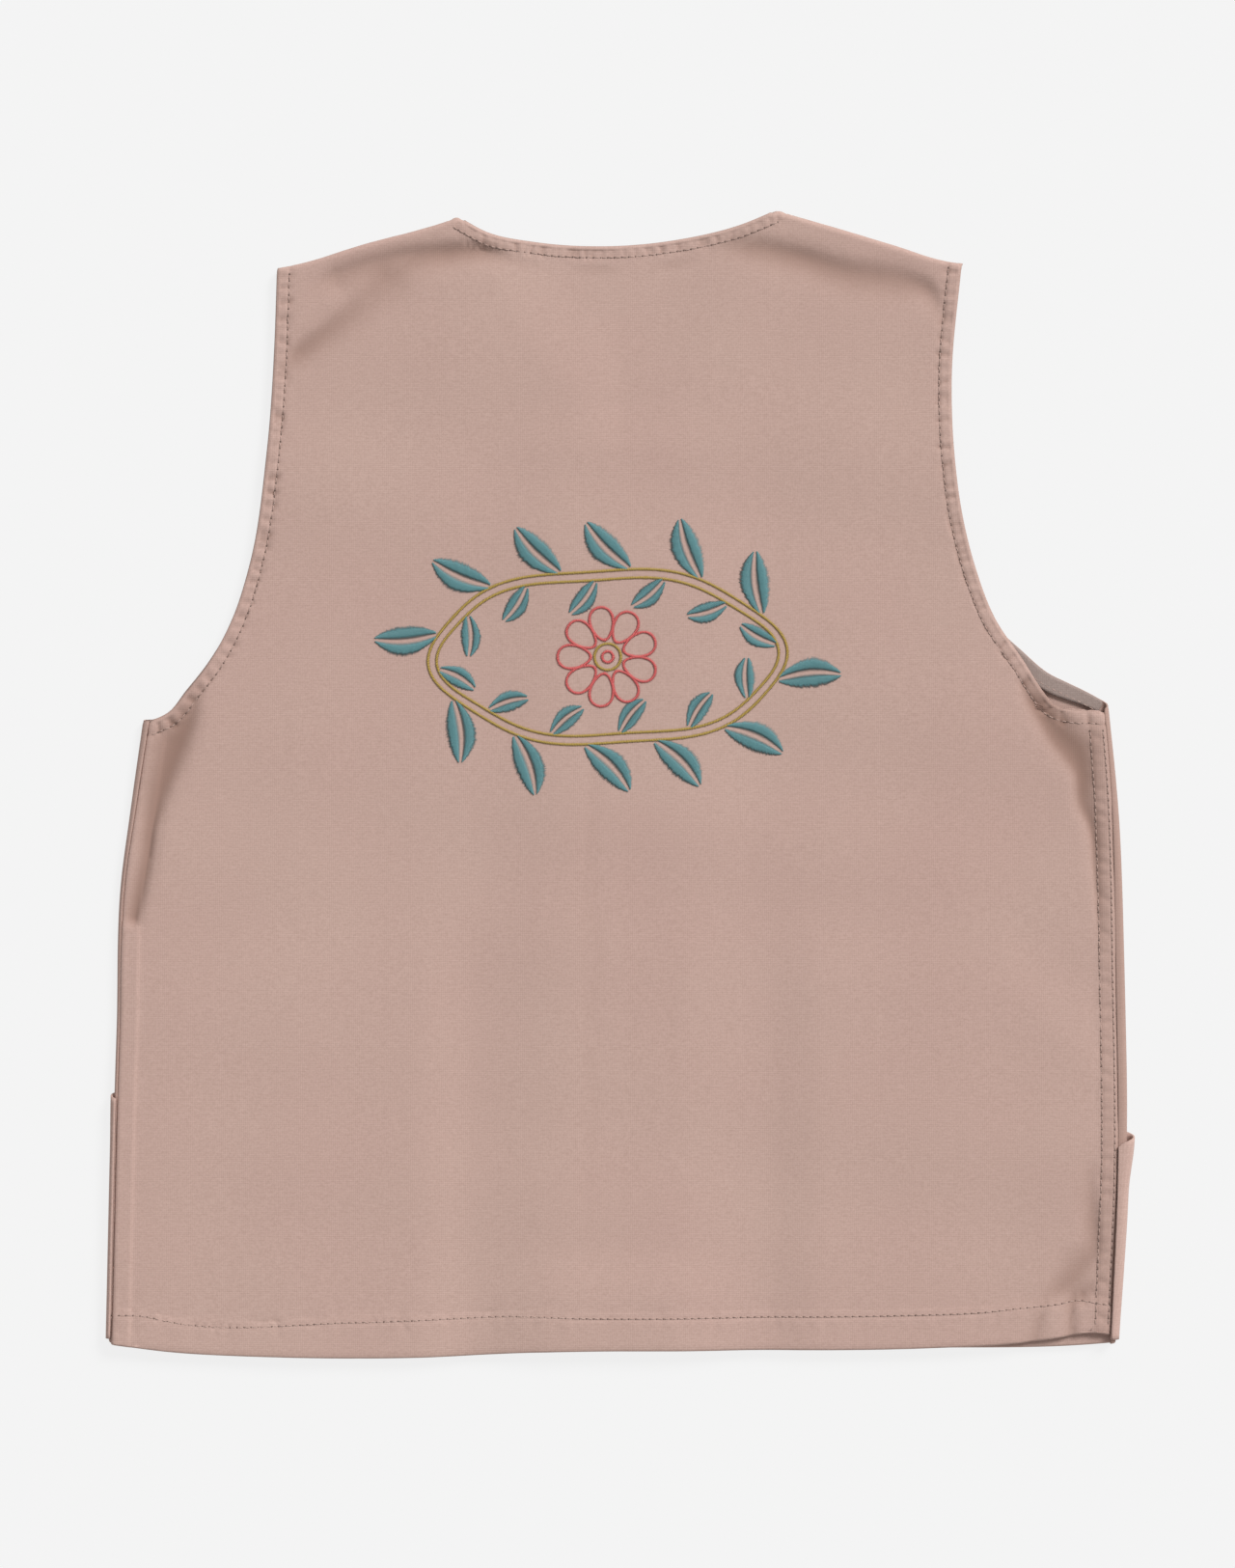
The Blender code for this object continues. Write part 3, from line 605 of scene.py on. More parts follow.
class Panel:
    """A cloth panel as a grid of points on its middle surface, and its mesh."""

    grain: Grain
    outward = 1
    free_top = (0.0, 0.0)

    def surface(self, across: Array, up: Array) -> Array:
        """Middle points of the wall at these places of the flat cut."""
        raise NotImplementedError

    def hem(self, across: Array) -> Array:
        """Y of the hem."""
        raise NotImplementedError

    def top(self, across: Array) -> Array:
        """Y of the neck or shoulder."""
        raise NotImplementedError

    def reach(self, across: Array, up: Array) -> Array:
        """How far the cut runs from the centre at this height."""
        raise NotImplementedError

    def ends(self, share: Array) -> tuple[Array, Array]:
        """First and last point of a row of the grid, as rows (across, up)."""
        raise NotImplementedError

    def even_y(self, u: Array, v: Array) -> Array:
        """Height of points that are this share of the way from the hem to the top."""
        low_ends, high_ends = ([ends[0] for ends in self.ends(np.array([v_end]))] for v_end in (0.0, 1.0))
        low_x = low_ends[0][0] + (low_ends[1][0] - low_ends[0][0]) * u
        high_x = high_ends[0][0] + (high_ends[1][0] - high_ends[0][0]) * u
        low, high = self.hem(low_x), self.top(high_x)
        return low + (high - low) * v

    def place(self, u: Array, v: Array) -> tuple[Array, Array]:
        """Places on the flat cut of grid points.

        Args:
            u: Shares across.
            v: Shares up.

        Returns:
            Across and up.
        """
        left, right = self.ends(v)
        width = right[:, 0] - left[:, 0]
        zeros = np.zeros(len(u))
        bend = (left[:, 1] - self.even_y(zeros, v)) * (1 - smooth_step(width * u / MAKE.edge_reach))
        far = 1 - smooth_step(width * (1 - u) / MAKE.edge_reach)
        bend += (right[:, 1] - self.even_y(zeros + 1, v)) * far
        across = left[:, 0] + width * u
        return across, np.maximum(self.even_y(u, v) + bend, self.hem(across) + MAKE.fold_from_hem)

    def normals(self, across: Array, up: Array) -> Array:
        """Unit normals of the middle surface, on its outer side."""
        step = 0.1
        along_x = self.surface(across + step, up) - self.surface(across - step, up)
        along_y = self.surface(across, up + step) - self.surface(across, up - step)
        found = np.cross(along_x, along_y) * self.outward
        return found / np.linalg.norm(found, axis=1, keepdims=True)

    def sheet(self, across: Array, up: Array, inwards: Array | float = 0.0) -> Array:
        """Middle points moved in by a distance."""
        inwards = np.broadcast_to(np.asarray(inwards, float), across.shape)
        return self.surface(across, up) - self.normals(across, up) * inwards[:, None]

    def turned_up(self, u: Array, share: Array) -> tuple[Array, Array, Array]:
        """The hem's inner layer, from its raw edge down to the fold."""
        across = self.place(u, np.zeros(len(u)))[0]
        fold = self.hem(across) + MAKE.fold_from_hem
        depth = MAKE.hem_depth + (MAKE.fold_from_hem - MAKE.hem_depth) * share
        up = fold - MAKE.fold_from_hem + depth
        along = across * self.reach(across, up) / self.reach(across, fold)
        return self.sheet(along, up, 2 * MAKE.hem_turn), across, fold - MAKE.layer - depth

    def hem_fold(self, u: Array, share: Array) -> tuple[Array, Array, Array]:
        """The fold from the inner layer round to the outer side."""
        across = self.place(u, np.zeros(len(u)))[0]
        fold = self.hem(across) + MAKE.fold_from_hem
        turn = math.pi * (1 - share)
        points = self.sheet(across, fold, MAKE.hem_turn * (1 - np.cos(turn)))
        points[:, 1] -= MAKE.hem_turn * np.sin(turn)
        return points, across, fold - MAKE.hem_turn * turn

    def open_cloth(self, u: Array, share: Array) -> tuple[Array, Array, Array]:
        """The cloth between the hem and the top."""
        across, up = self.place(u, share * MAKE.top_share)
        return self.sheet(across, up), across, up

    def to_top(self, u: Array, share: Array) -> tuple[Array, Array, Array]:
        """The strip that leads to the shoulder's turn."""
        across, up = self.place(u, np.full(len(u), MAKE.top_share))
        last, _ = self.place(u, np.ones(len(u)))
        start = self.top(last) - MAKE.fold_radius - MAKE.cloth / 2
        across = across + (last - across) * share
        up = up + (start - up) * share
        return self.sheet(across, up), across, up

    def curl(self, u: Array, share: Array) -> tuple[Array, Array, Array]:
        """The turn to the shoulder seam. A free neck edge stays level."""
        across, _ = self.place(u, np.ones(len(u)))
        top = self.top(across)
        start = top - MAKE.fold_radius - MAKE.cloth / 2
        lean = math.radians(MAKE.seam_degrees)
        turn = math.pi / 2 + (lean - math.pi / 2) * share
        free = self.sheet(across, start + (top - start) * np.cos(turn) / math.cos(lean))
        curled = self.sheet(across, start, MAKE.fold_radius * (1 - np.sin(turn)))
        curled[:, 1] += MAKE.fold_radius * np.cos(turn)
        is_free = (across > self.free_top[0]) & (across < self.free_top[1])
        up = start + MAKE.fold_radius * (math.pi / 2 - turn)
        return np.where(is_free[:, None], free, curled), across, up

    def points(self, u: Array, row: Array) -> tuple[Array, Array]:
        """Places in space and on the flat cut of grid points.

        Args:
            u: Shares across.
            row: Row numbers, as Grain.row_marks gives them.

        Returns:
            The points, and rows (across, up) of the cut.
        """
        space, cut = np.zeros((len(u), 3)), np.zeros((len(u), 2))
        stretches = (self.turned_up, self.hem_fold, self.open_cloth, self.to_top, self.curl)
        for low, stretch in enumerate(stretches):
            mask = (row > low) & (row <= low + 1) if low else row <= 1
            if mask.any():
                found, across, up = stretch(u[mask], row[mask] - low)
                space[mask] = found
                cut[mask] = np.stack([across, up], axis=1)
        return space, cut

    def split_faces(self, across: Array, up: Array) -> Array:
        """How many times finer than the plain grid the mesh is at these places: 1, 2 or 3."""
        return np.ones(len(across), int)

    def shade(self, across: Array, up: Array) -> Array:
        """Share of painted shade at these places, from 0 to 1."""
        return np.zeros(len(across))

    def make(self, name: str) -> Object:
        """Makes the panel's sheet as a grid, splits it where there is detail, and gives it thickness.

        Args:
            name: The piece's name.

        Returns:
            The piece.
        """
        columns, rows = self.grain.column_marks(), self.grain.row_marks()
        mesh = bmesh.new()
        bmesh.ops.create_grid(mesh, x_segments=len(columns) - 1, y_segments=len(rows) - 1, size=0.5)
        for times in (2, 3):
            self.split(mesh, columns, rows, times)
        bmesh.ops.triangulate(mesh, faces=[face for face in mesh.faces if len(face.verts) > 4])
        u, row = self.grid_places(np.array([vert.co[:2] for vert in mesh.verts]), columns, rows)
        space, cut = self.points(u, row)
        piece = laid(name, mesh, space, cut, self.outward)
        # The crease attribute carries painted shade, which the cloth's material mixes in.
        crease = piece.data.attributes.new("crease", "FLOAT", "POINT")
        crease.data.foreach_set("value", self.shade(cut[:, 0], cut[:, 1]).astype(np.float32))
        return piece

    @staticmethod
    def grid_places(flat: Array, columns: Array, rows: Array) -> tuple[Array, Array]:
        """Turns places on the square grid into shares across and row numbers."""
        u = np.interp((flat[:, 0] + 0.5) * (len(columns) - 1), np.arange(len(columns)), columns)
        row = np.interp((flat[:, 1] + 0.5) * (len(rows) - 1), np.arange(len(rows)), rows)
        return u, row

    def split(self, mesh: BMesh, columns: Array, rows: Array, times: int) -> None:
        """Splits the faces that ask for this many cells each way."""
        faces = list(mesh.faces)
        centres = np.array([face.calc_center_median()[:2] for face in faces])
        u, row = self.grid_places(centres, columns, rows)
        _, cut = self.points(u, row)
        wanted = self.split_faces(cut[:, 0], cut[:, 1]) == times
        edges = {edge for face, chosen in zip(faces, wanted) if chosen for edge in face.edges}
        if edges:
            bmesh.ops.subdivide_edges(mesh, edges=list(edges), cuts=times - 1, use_grid_fill=True)


def finished(
    name: str, mesh: BMesh, thickness: float = 0.0, sharp: float = 60.0
) -> Object:
    """Turns a bmesh into a smooth piece.

    Args:
        name: The piece's name.
        mesh: The shape, which is freed.
        thickness: Wall thickness to give a sheet, half to each side.
        sharp: Degrees past which an edge stays sharp.

    Returns:
        The piece.
    """
    data = bpy.data.meshes.new(name)
    mesh.to_mesh(data)
    mesh.free()
    data.shade_smooth()
    data.set_sharp_from_angle(angle=math.radians(sharp))
    piece = bpy.data.objects.new(name, data)
    bpy.context.scene.collection.objects.link(piece)
    if thickness:
        wall = piece.modifiers.new("wall", "SOLIDIFY")
        wall.thickness = thickness * MM
        wall.offset = 0.0
        wall.use_quality_normals = True
    return piece


def laid(
    name: str, mesh: BMesh, space: Array, cut: Array, outward: int
) -> Object:
    """Turns a grid into a sheet of cloth that knows where it lies on the cut.

    Args:
        name: The piece's name.
        mesh: The grid, which is freed.
        space: Rows (x, y, z) for the grid's points.
        cut: Rows (across, up) for the grid's points.
        outward: -1 where the grid's faces look inwards.

    Returns:
        The piece.
    """
    layer = mesh.loops.layers.uv.new("cut")
    for vert, point in zip(mesh.verts, space * MM):
        vert.co = point
    mesh.verts.index_update()
    for face in mesh.faces:
        for loop in face.loops:
            loop[layer].uv = cut[loop.vert.index] * MM
    if outward < 0:
        bmesh.ops.reverse_faces(mesh, faces=mesh.faces)
    return finished(name, mesh, MAKE.wall)


def near_neck(x: Array, y: Array) -> Array:
    """Which points lie about the neck."""
    return (y > 190) & (np.abs(x) < 72)


def near_armhole(side: Side, x: Array, y: Array) -> Array:
    """Which points lie about this side's armhole."""
    return (y > 10) & (x * side.value > 110)


class BackPanel(Panel):
    """The back, from side seam to side seam."""

    free_top = (-NECK_POINTS[Side.LEFT] + MAKE.neck_margin, NECK_POINTS[Side.RIGHT] - MAKE.neck_margin)
    grain = Grain(columns=((0.0, 0.02, 4), (0.02, 0.98, 118), (0.98, 1.0, 4)), rows=132)
    neck_puckers = Puckers(spacing=2.8, depth=0.7, width=1.05, outer=0.8, inner=3.6, seed=11)
    arm_puckers = {
        Side.LEFT: Puckers(spacing=4.2, depth=0.8, width=1.15, outer=0.6, inner=5.0, seed=12),
        Side.RIGHT: Puckers(spacing=4.2, depth=0.8, width=1.15, outer=0.6, inner=5.0, seed=13),
    }
    fell_puckers = {
        Side.LEFT: Puckers(spacing=16.0, depth=0.08, width=1.6, outer=1.6, inner=5.0, seed=14),
        Side.RIGHT: Puckers(spacing=6.0, depth=0.55, width=1.05, outer=1.6, inner=5.9, seed=15),
    }
    hem_puckers = Puckers(spacing=8.0, depth=0.2, width=1.6, outer=-8.0, inner=1.5, seed=16)
    # Painted shade given by the pressed relief, and a flat darkening over the right fell.
    relief_shade = 0.85
    fell_shade = 0.22
    broad = Ripples(seed=21, wavelengths=(45.0, 110.0), height=0.28, count=9)
    fine = Ripples(seed=22, wavelengths=(6.0, 14.0), height=0.03, count=12)

    def neck_shape(self, x: Array, y: Array) -> Array:
        """Relief of the turned neck edge and its stitching."""
        found = np.zeros(len(x))
        near = near_neck(x, y)
        if not near.any():
            return found
        away, reach, _ = BACK_NECK.nearest(x[near], y[near])
        band = MAKE.neck_band
        relief = band_relief(away, band)
        relief -= self.neck_puckers.depth_at(away, reach, BACK_NECK.reach[-1])
        wrinkle_away, wrinkle_start, wrinkle_end = 9.0, 12.0, 112.0
        second = np.exp(-(((away - wrinkle_away) / 1.2) ** 2))
        second *= smooth_step((reach - wrinkle_start) / 20) * smooth_step((wrinkle_end - reach) / 30)
        relief -= second * (0.12 + 0.14 * np.sin(reach * 0.21 + 2.2))
        found[near] = relief
        return found

    def arm_shape(self, x: Array, y: Array) -> Array:
        """Relief of the turned armhole edges and their stitching."""
        found = np.zeros(len(x))
        for side in Side:
            near = near_armhole(side, x, y)
            if not near.any():
                continue
            line = BACK_ARMHOLES[side]
            away, reach, _ = line.nearest(x[near], y[near])
            relief = band_relief(away, MAKE.arm_band)
            relief -= self.arm_puckers[side].depth_at(away, reach, line.reach[-1])
            found[near] += relief * smooth_step((BACK_TOP.y_at(x[near]) - y[near] + 1) / 4)
        return found

    def side_shape(self, x: Array, y: Array) -> Array:
        """Relief of the felled side seams."""
        found = np.zeros(len(x))
        for side in Side:
            near = (y < UNDERARM_Y[side] + 2) & (x * side.value > 150)
            if not near.any():
                continue
            away = back_end(side, y[near]) - np.abs(x[near])
            fade = smooth_step((UNDERARM_Y[side] - MAKE.arm_band - y[near]) / 3)
            raised = 0.42 * smooth_step((MAKE.fell_far + 1.3 - away) / 1.2)
            seam = 0.5 * smooth_step(1 - away / 1.1)
            rows = np.zeros(len(away))
            if side is Side.RIGHT:
                rows = 0.26 * np.exp(-(((away - MAKE.fell_near) / 0.6) ** 2))
                rows += 0.3 * np.exp(-(((away - MAKE.fell_far) / 0.65) ** 2))
            gathers = self.fell_puckers[side].depth_at(away, y[near] + 230, 260.0)
            found[near] += (raised - rows - gathers) * fade - seam
        return found

    def hem_shape(self, x: Array, y: Array) -> Array:
        """Relief of the turned hem and its stitching."""
        found = np.zeros(len(x))
        above = y - HEM_ROW.y_at(x)
        near = above < 12
        if not near.any():
            return found
        away = above[near]
        raised = 0.4 * smooth_step((2.2 - away) / 1.4)
        row = 0.32 * np.exp(-((away / 0.65) ** 2))
        gathers = self.hem_puckers.depth_at(away, x[near] + 210, 420.0)
        found[near] = raised - row - gathers
        return found

    def surface(self, across: Array, up: Array) -> Array:
        """Middle points of the back's wall, with every fold and stitched edge."""
        height = Heights.back(across, up)
        height = height + self.neck_shape(across, up) + self.arm_shape(across, up)
        height += self.side_shape(across, up) + self.hem_shape(across, up)
        height += self.broad.at(across, up) + self.fine.at(across, up)
        return np.stack([across, up, height], axis=1)

    def hem(self, across: Array) -> Array:
        """Y of the hem."""
        return BACK_HEM.y_at(across)

    def top(self, across: Array) -> Array:
        """Y of the neck or shoulder."""
        return BACK_TOP.y_at(across)

    def reach(self, across: Array, up: Array) -> Array:
        """How far the back runs from the centre at this height."""
        return np.where(across > 0, back_end(Side.RIGHT, up), back_end(Side.LEFT, up))

    def ends(self, share: Array) -> tuple[Array, Array]:
        """First and last point of a row of the grid."""
        found = []
        for side in Side:
            arm = BACK_ARMHOLES[side]
            along_arm = arm.at((share - MAKE.underarm) / (1 - MAKE.underarm))
            low = self.hem(PLAN_EDGES[side].dense[:1, 0])[0]
            up = low + (arm.dense[0, 1] - low) * share / MAKE.underarm
            along_side = np.stack([side.value * back_end(side, up), up], axis=1)
            found.append(np.where((share > MAKE.underarm)[:, None], along_arm, along_side))
        return found[0], found[1]

    def shade(self, across: Array, up: Array) -> Array:
        """Share of painted shade at these places, from 0 to 1: deep in creases, on pressed rims, stitch rows
        and gathers, and a flat darkening over the right fell.
        """
        creases = sum(trough.dark * trough.depth(across, up) for trough in TROUGHS) / CREASE_FOR_FULL_SHADE
        relief = self.neck_shape(across, up) + self.arm_shape(across, up)
        relief += self.side_shape(across, up) + self.hem_shape(across, up)
        beside = (across > 150) & (up < UNDERARM_Y[Side.RIGHT] - MAKE.arm_band)
        fell = smooth_step((MAKE.fell_far + 1.0 - back_end(Side.RIGHT, up) + across) / 1.2) * beside
        pressed = self.relief_shade * np.clip(-relief, 0.0, 1.0)
        return np.clip(creases + pressed + self.fell_shade * fell, 0.0, 1.0)

    def split_faces(self, across: Array, up: Array) -> Array:
        """Finest along the stitched edges, finer in the creases."""
        found = np.ones(len(across), int)
        creases = sum(trough.depth(across, up) for trough in TROUGHS[:-2])
        found[creases > 0.12] = 2
        arm = np.full(len(across), 99.0)
        for side in Side:
            near = near_armhole(side, across, up)
            if near.any():
                arm[near] = BACK_ARMHOLES[side].nearest(across[near], up[near])[0]
            beside = (up < UNDERARM_Y[side]) & (across * side.value > 150)
            fell = back_end(side, up) - np.abs(across)
            arm = np.where(beside, np.minimum(arm, np.maximum(fell - 2, 0)), arm)
        near = near_neck(across, up)
        if near.any():
            arm[near] = np.minimum(arm[near], BACK_NECK.nearest(across[near], up[near])[0] - 1)
        found[arm < 9] = 2
        found[arm < 6.6] = 3
        above_hem = np.abs(up - HEM_ROW.y_at(across))
        found[(above_hem < 3.5) & (found < 2)] = 2
        found[above_hem < 2.6] = 3
        return found


def band_relief(away: Array, band: float) -> Array:
    """Relief of a turned edge: rounded at the edge, full in the middle, pressed in along the stitches.

    Args:
        away: Distance from the edge.
        band: Distance of the stitches from the edge.

    Returns:
        The rise, which is below zero where the cloth is pressed down.
    """
    full = 0.34 * smooth_step((band + 1.5 - away) / 1.6)
    rim = 0.55 * smooth_step(1 - away / 1.3)
    row = 0.34 * np.exp(-(((away - band) / 0.65) ** 2))
    return full - rim - row


class FrontPanel(Panel):
    """A front: it lies flat, and turns up round its side edge to the side seam."""

    # Painted shade on each side's turned strip.
    turned_shade = {Side.LEFT: 0.22, Side.RIGHT: 0.5}

    def __init__(self, side: Side) -> None:
        """Sets the front's side, its armhole and its cut.

        Args:
            side: The wearer's side.
        """
        self.side = side
        self.outward = -side.value
        self.free_top = (-2 * MAKE.lap, NECK_POINTS[side] - MAKE.neck_margin)
        underarm = np.array([UNDERARM_Y[side]])
        first = (float(self.reach(np.ones(1), underarm)[0]), UNDERARM_Y[side])
        self.armhole = Line((first, *FRONT_ARMHOLES[side]))
        self.low_edge = float(fold_start(side, PLAN_EDGES[side].dense[:1, 1])[0])
        neck = (NECK_POINTS[side] + MAKE.lap) / (self.armhole.dense[-1, 0] + MAKE.lap)
        self.grain = Grain(columns=((0.0, neck, 26), (neck, 0.955, 34), (0.955, 1.0, 16)), rows=110)

    def split_faces(self, across: Array, up: Array) -> Array:
        """Finer along the armhole."""
        return np.where(self.armhole.nearest(across, up)[0] < 5.5, 2, 1)

    def surface(self, across: Array, up: Array) -> Array:
        """Middle points of the front's wall, flat and round the side turn."""
        side, radius = self.side.value, MAKE.fold_radius
        start = fold_start(self.side, up)
        past = np.maximum(across - start, 0.0)
        level = np.minimum(across, start)
        height = Heights.front(self.side, side * level, up)
        turn = np.minimum(past / radius, math.pi)
        out = np.where(past > 0, start + radius * np.sin(turn), across)
        out = out - np.maximum(past - math.pi * radius, 0.0)
        height = height + radius * (1 - np.cos(turn))
        return np.stack([side * out, up, height], axis=1)

    def shade(self, across: Array, up: Array) -> Array:
        """Painted shade on the turned strips, of which the right one lies darker than the back."""
        turned = smooth_step((across - fold_start(self.side, up)) / MAKE.fold_radius)
        return turned * self.turned_shade[self.side]

    def hem(self, across: Array) -> Array:
        """Y of the hem."""
        return FRONT_HEM.y_at(self.side.value * np.minimum(across, self.low_edge))

    def top(self, across: Array) -> Array:
        """Y of the neck or shoulder."""
        return FRONT_TOPS[self.side].y_at(across)

    def reach(self, across: Array, up: Array) -> Array:
        """How far the front's cut runs from the centre at this height."""
        side_reach = fold_start(self.side, up) + turn_to_seam(self.side, up) - MAKE.seam_open / 2
        return np.where(across <= 0, MAKE.lap, side_reach)

    def ends(self, share: Array) -> tuple[Array, Array]:
        """First and last point of a row of the grid."""
        edge = np.full(1, -MAKE.lap)
        low, high = self.hem(edge)[0], self.top(edge)[0]
        centre = np.stack([np.full(len(share), -MAKE.lap), low + (high - low) * share], axis=1)
        along_arm = self.armhole.at((share - MAKE.underarm) / (1 - MAKE.underarm))
        low = self.hem(np.full(1, self.low_edge))[0]
        up = low + (self.armhole.dense[0, 1] - low) * share / MAKE.underarm
        along_side = np.stack([self.reach(np.ones(len(up)), up), up], axis=1)
        return centre, np.where((share > MAKE.underarm)[:, None], along_arm, along_side)


@dataclass
class ArmholeFacing:
    """The bias strip inside a front's armhole."""

    front: FrontPanel
    start: float = 0.03
    end: float = 0.97
    columns: int = 6
    rows: int = 150

    def cut(self, share: Array, inwards: Array) -> Array:
        """Places on the front's cut, by share of the armhole's length and distance from its edge."""
        line = self.front.armhole
        run = line.at(share + 0.002) - line.at(share - 0.002)
        run /= np.linalg.norm(run, axis=1, keepdims=True)
        return line.at(share) + np.stack([-run[:, 1], run[:, 0]], axis=1) * inwards[:, None]

    def make(self) -> Object:
        """Makes the strip one layer inside the front."""
        mesh = bmesh.new()
        bmesh.ops.create_grid(mesh, x_segments=self.columns, y_segments=self.rows, size=0.5)
        flat = np.array([vert.co[:2] for vert in mesh.verts]) + 0.5
        width = MAKE.facing * (0.7 + 0.3 * smooth_step(flat[:, 1] * 9))
        cut = self.cut(self.start + (self.end - self.start) * flat[:, 1], 0.3 + width * (1 - flat[:, 0]))
        space = self.front.sheet(cut[:, 0], cut[:, 1], MAKE.layer)
        return laid(f"facing_strip_{self.front.side.word}", mesh, space, cut, self.front.outward)


@dataclass
class PocketPatch:
    """A slanted patch pocket on the outer side of a front."""

    front: FrontPanel
    rows: int = 46
    columns: int = 66

    def make(self) -> Object:
        """Makes the patch from its inner edge round to the side seam."""
        side = self.front.side
        mesh = bmesh.new()
        bmesh.ops.create_grid(mesh, x_segments=self.columns, y_segments=self.rows, size=0.5)
        flat = np.array([vert.co[:2] for vert in mesh.verts]) + 0.5
        share = np.interp(flat[:, 0], (0.0, 0.55, 1.0), (0.0, 0.88, 1.0))
        is_left = side is Side.LEFT
        mouth_y = POCKET.left_mouth_side_y if is_left else POCKET.mouth_side_y
        mouth_side = np.full(len(share), mouth_y)
        seam = self.front.reach(np.ones(len(share)), mouth_side)
        across = POCKET.inner + (seam - POCKET.inner) * share
        low = self.front.hem(across) + POCKET.above_hem
        along_mouth = np.maximum(0.0, (across - POCKET.mouth_inner) / (seam - POCKET.mouth_inner))
        high = POCKET.top_y + (mouth_y - POCKET.top_y) * along_mouth
        up = low + (high - low) * flat[:, 1]
        across = across + (self.front.reach(np.ones(len(up)), up) - seam) * share
        turn = (across - fold_start(side, up)) / MAKE.fold_radius
        gape = np.where((turn > 0) & (turn < math.pi), np.sin(turn) ** 2, 0.0)
        gape = gape * (POCKET.left_gape if is_left else POCKET.gape)
        gape = gape * smooth_step(1 - (high - up) / POCKET.gape_length)
        space = self.front.sheet(across, up, -MAKE.layer - gape)
        cut = np.stack([across, up], axis=1)
        return laid(f"pocket_patch_{side.word}", mesh, space, cut, self.front.outward)


@dataclass
class Button:
    """A button of the lap, face down, with a raised rim and a dished middle."""

    y: float
    number: int
    sides: int = 40
    profile: Table = (
        (0.0, 1.95), (6.6, 1.95), (7.3, 1.7), (7.5, 1.1), (7.4, 0.4), (6.9, 0.0), (6.2, 0.05), (5.6, 0.45),
        (4.6, 0.6), (0.0, 0.6),
    )

    def make(self) -> Object:
        """Spins the button's profile."""
        mesh = bmesh.new()
        verts = [mesh.verts.new((x * MM, 0.0, z * MM)) for x, z in self.profile]
        edges = [mesh.edges.new(pair) for pair in zip(verts, verts[1:])]
        bmesh.ops.spin(
            mesh, geom=verts + edges, cent=(0, 0, 0), axis=(0, 0, 1), angle=math.tau, steps=self.sides,
            use_merge=True,
        )
        bmesh.ops.remove_doubles(mesh, verts=mesh.verts, dist=1e-6)
        bmesh.ops.recalc_face_normals(mesh, faces=mesh.faces)
        bmesh.ops.translate(mesh, verts=mesh.verts, vec=(0, self.y * MM, 0))
        piece = finished(f"button_resin_{self.number}", mesh, sharp=35.0)
        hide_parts(f"button_{self.number}")
        return piece


def spindle(segments: int, sides: int) -> tuple[Array, Array, Array]:
    """One stitch's shape: a closed round tube along X, of unit length and radius, drawn in at both ends.

    Args:
        segments: Steps along it.
        sides: Steps around it.

    Returns:
        Its points, its faces' corners one after another, and the number of corners of each face.
    """
    mesh = bmesh.new()
    bmesh.ops.create_grid(mesh, x_segments=segments, y_segments=sides, size=0.5)
    for vert in mesh.verts:
        along, turn = vert.co.x, (vert.co.y + 0.5) * math.tau
        full = math.sqrt(max(0.0, 1 - (2 * along) ** 4))
        vert.co = (along, math.cos(turn) * full, math.sin(turn) * full)
    bmesh.ops.remove_doubles(mesh, verts=mesh.verts, dist=1e-5)
    bmesh.ops.recalc_face_normals(mesh, faces=mesh.faces)
    mesh.verts.index_update()
    points = np.array([vert.co[:] for vert in mesh.verts])
    corners = np.array([vert.index for face in mesh.faces for vert in face.verts])
    sizes = np.array([len(face.verts) for face in mesh.faces])
    mesh.free()
    return points, corners, sizes


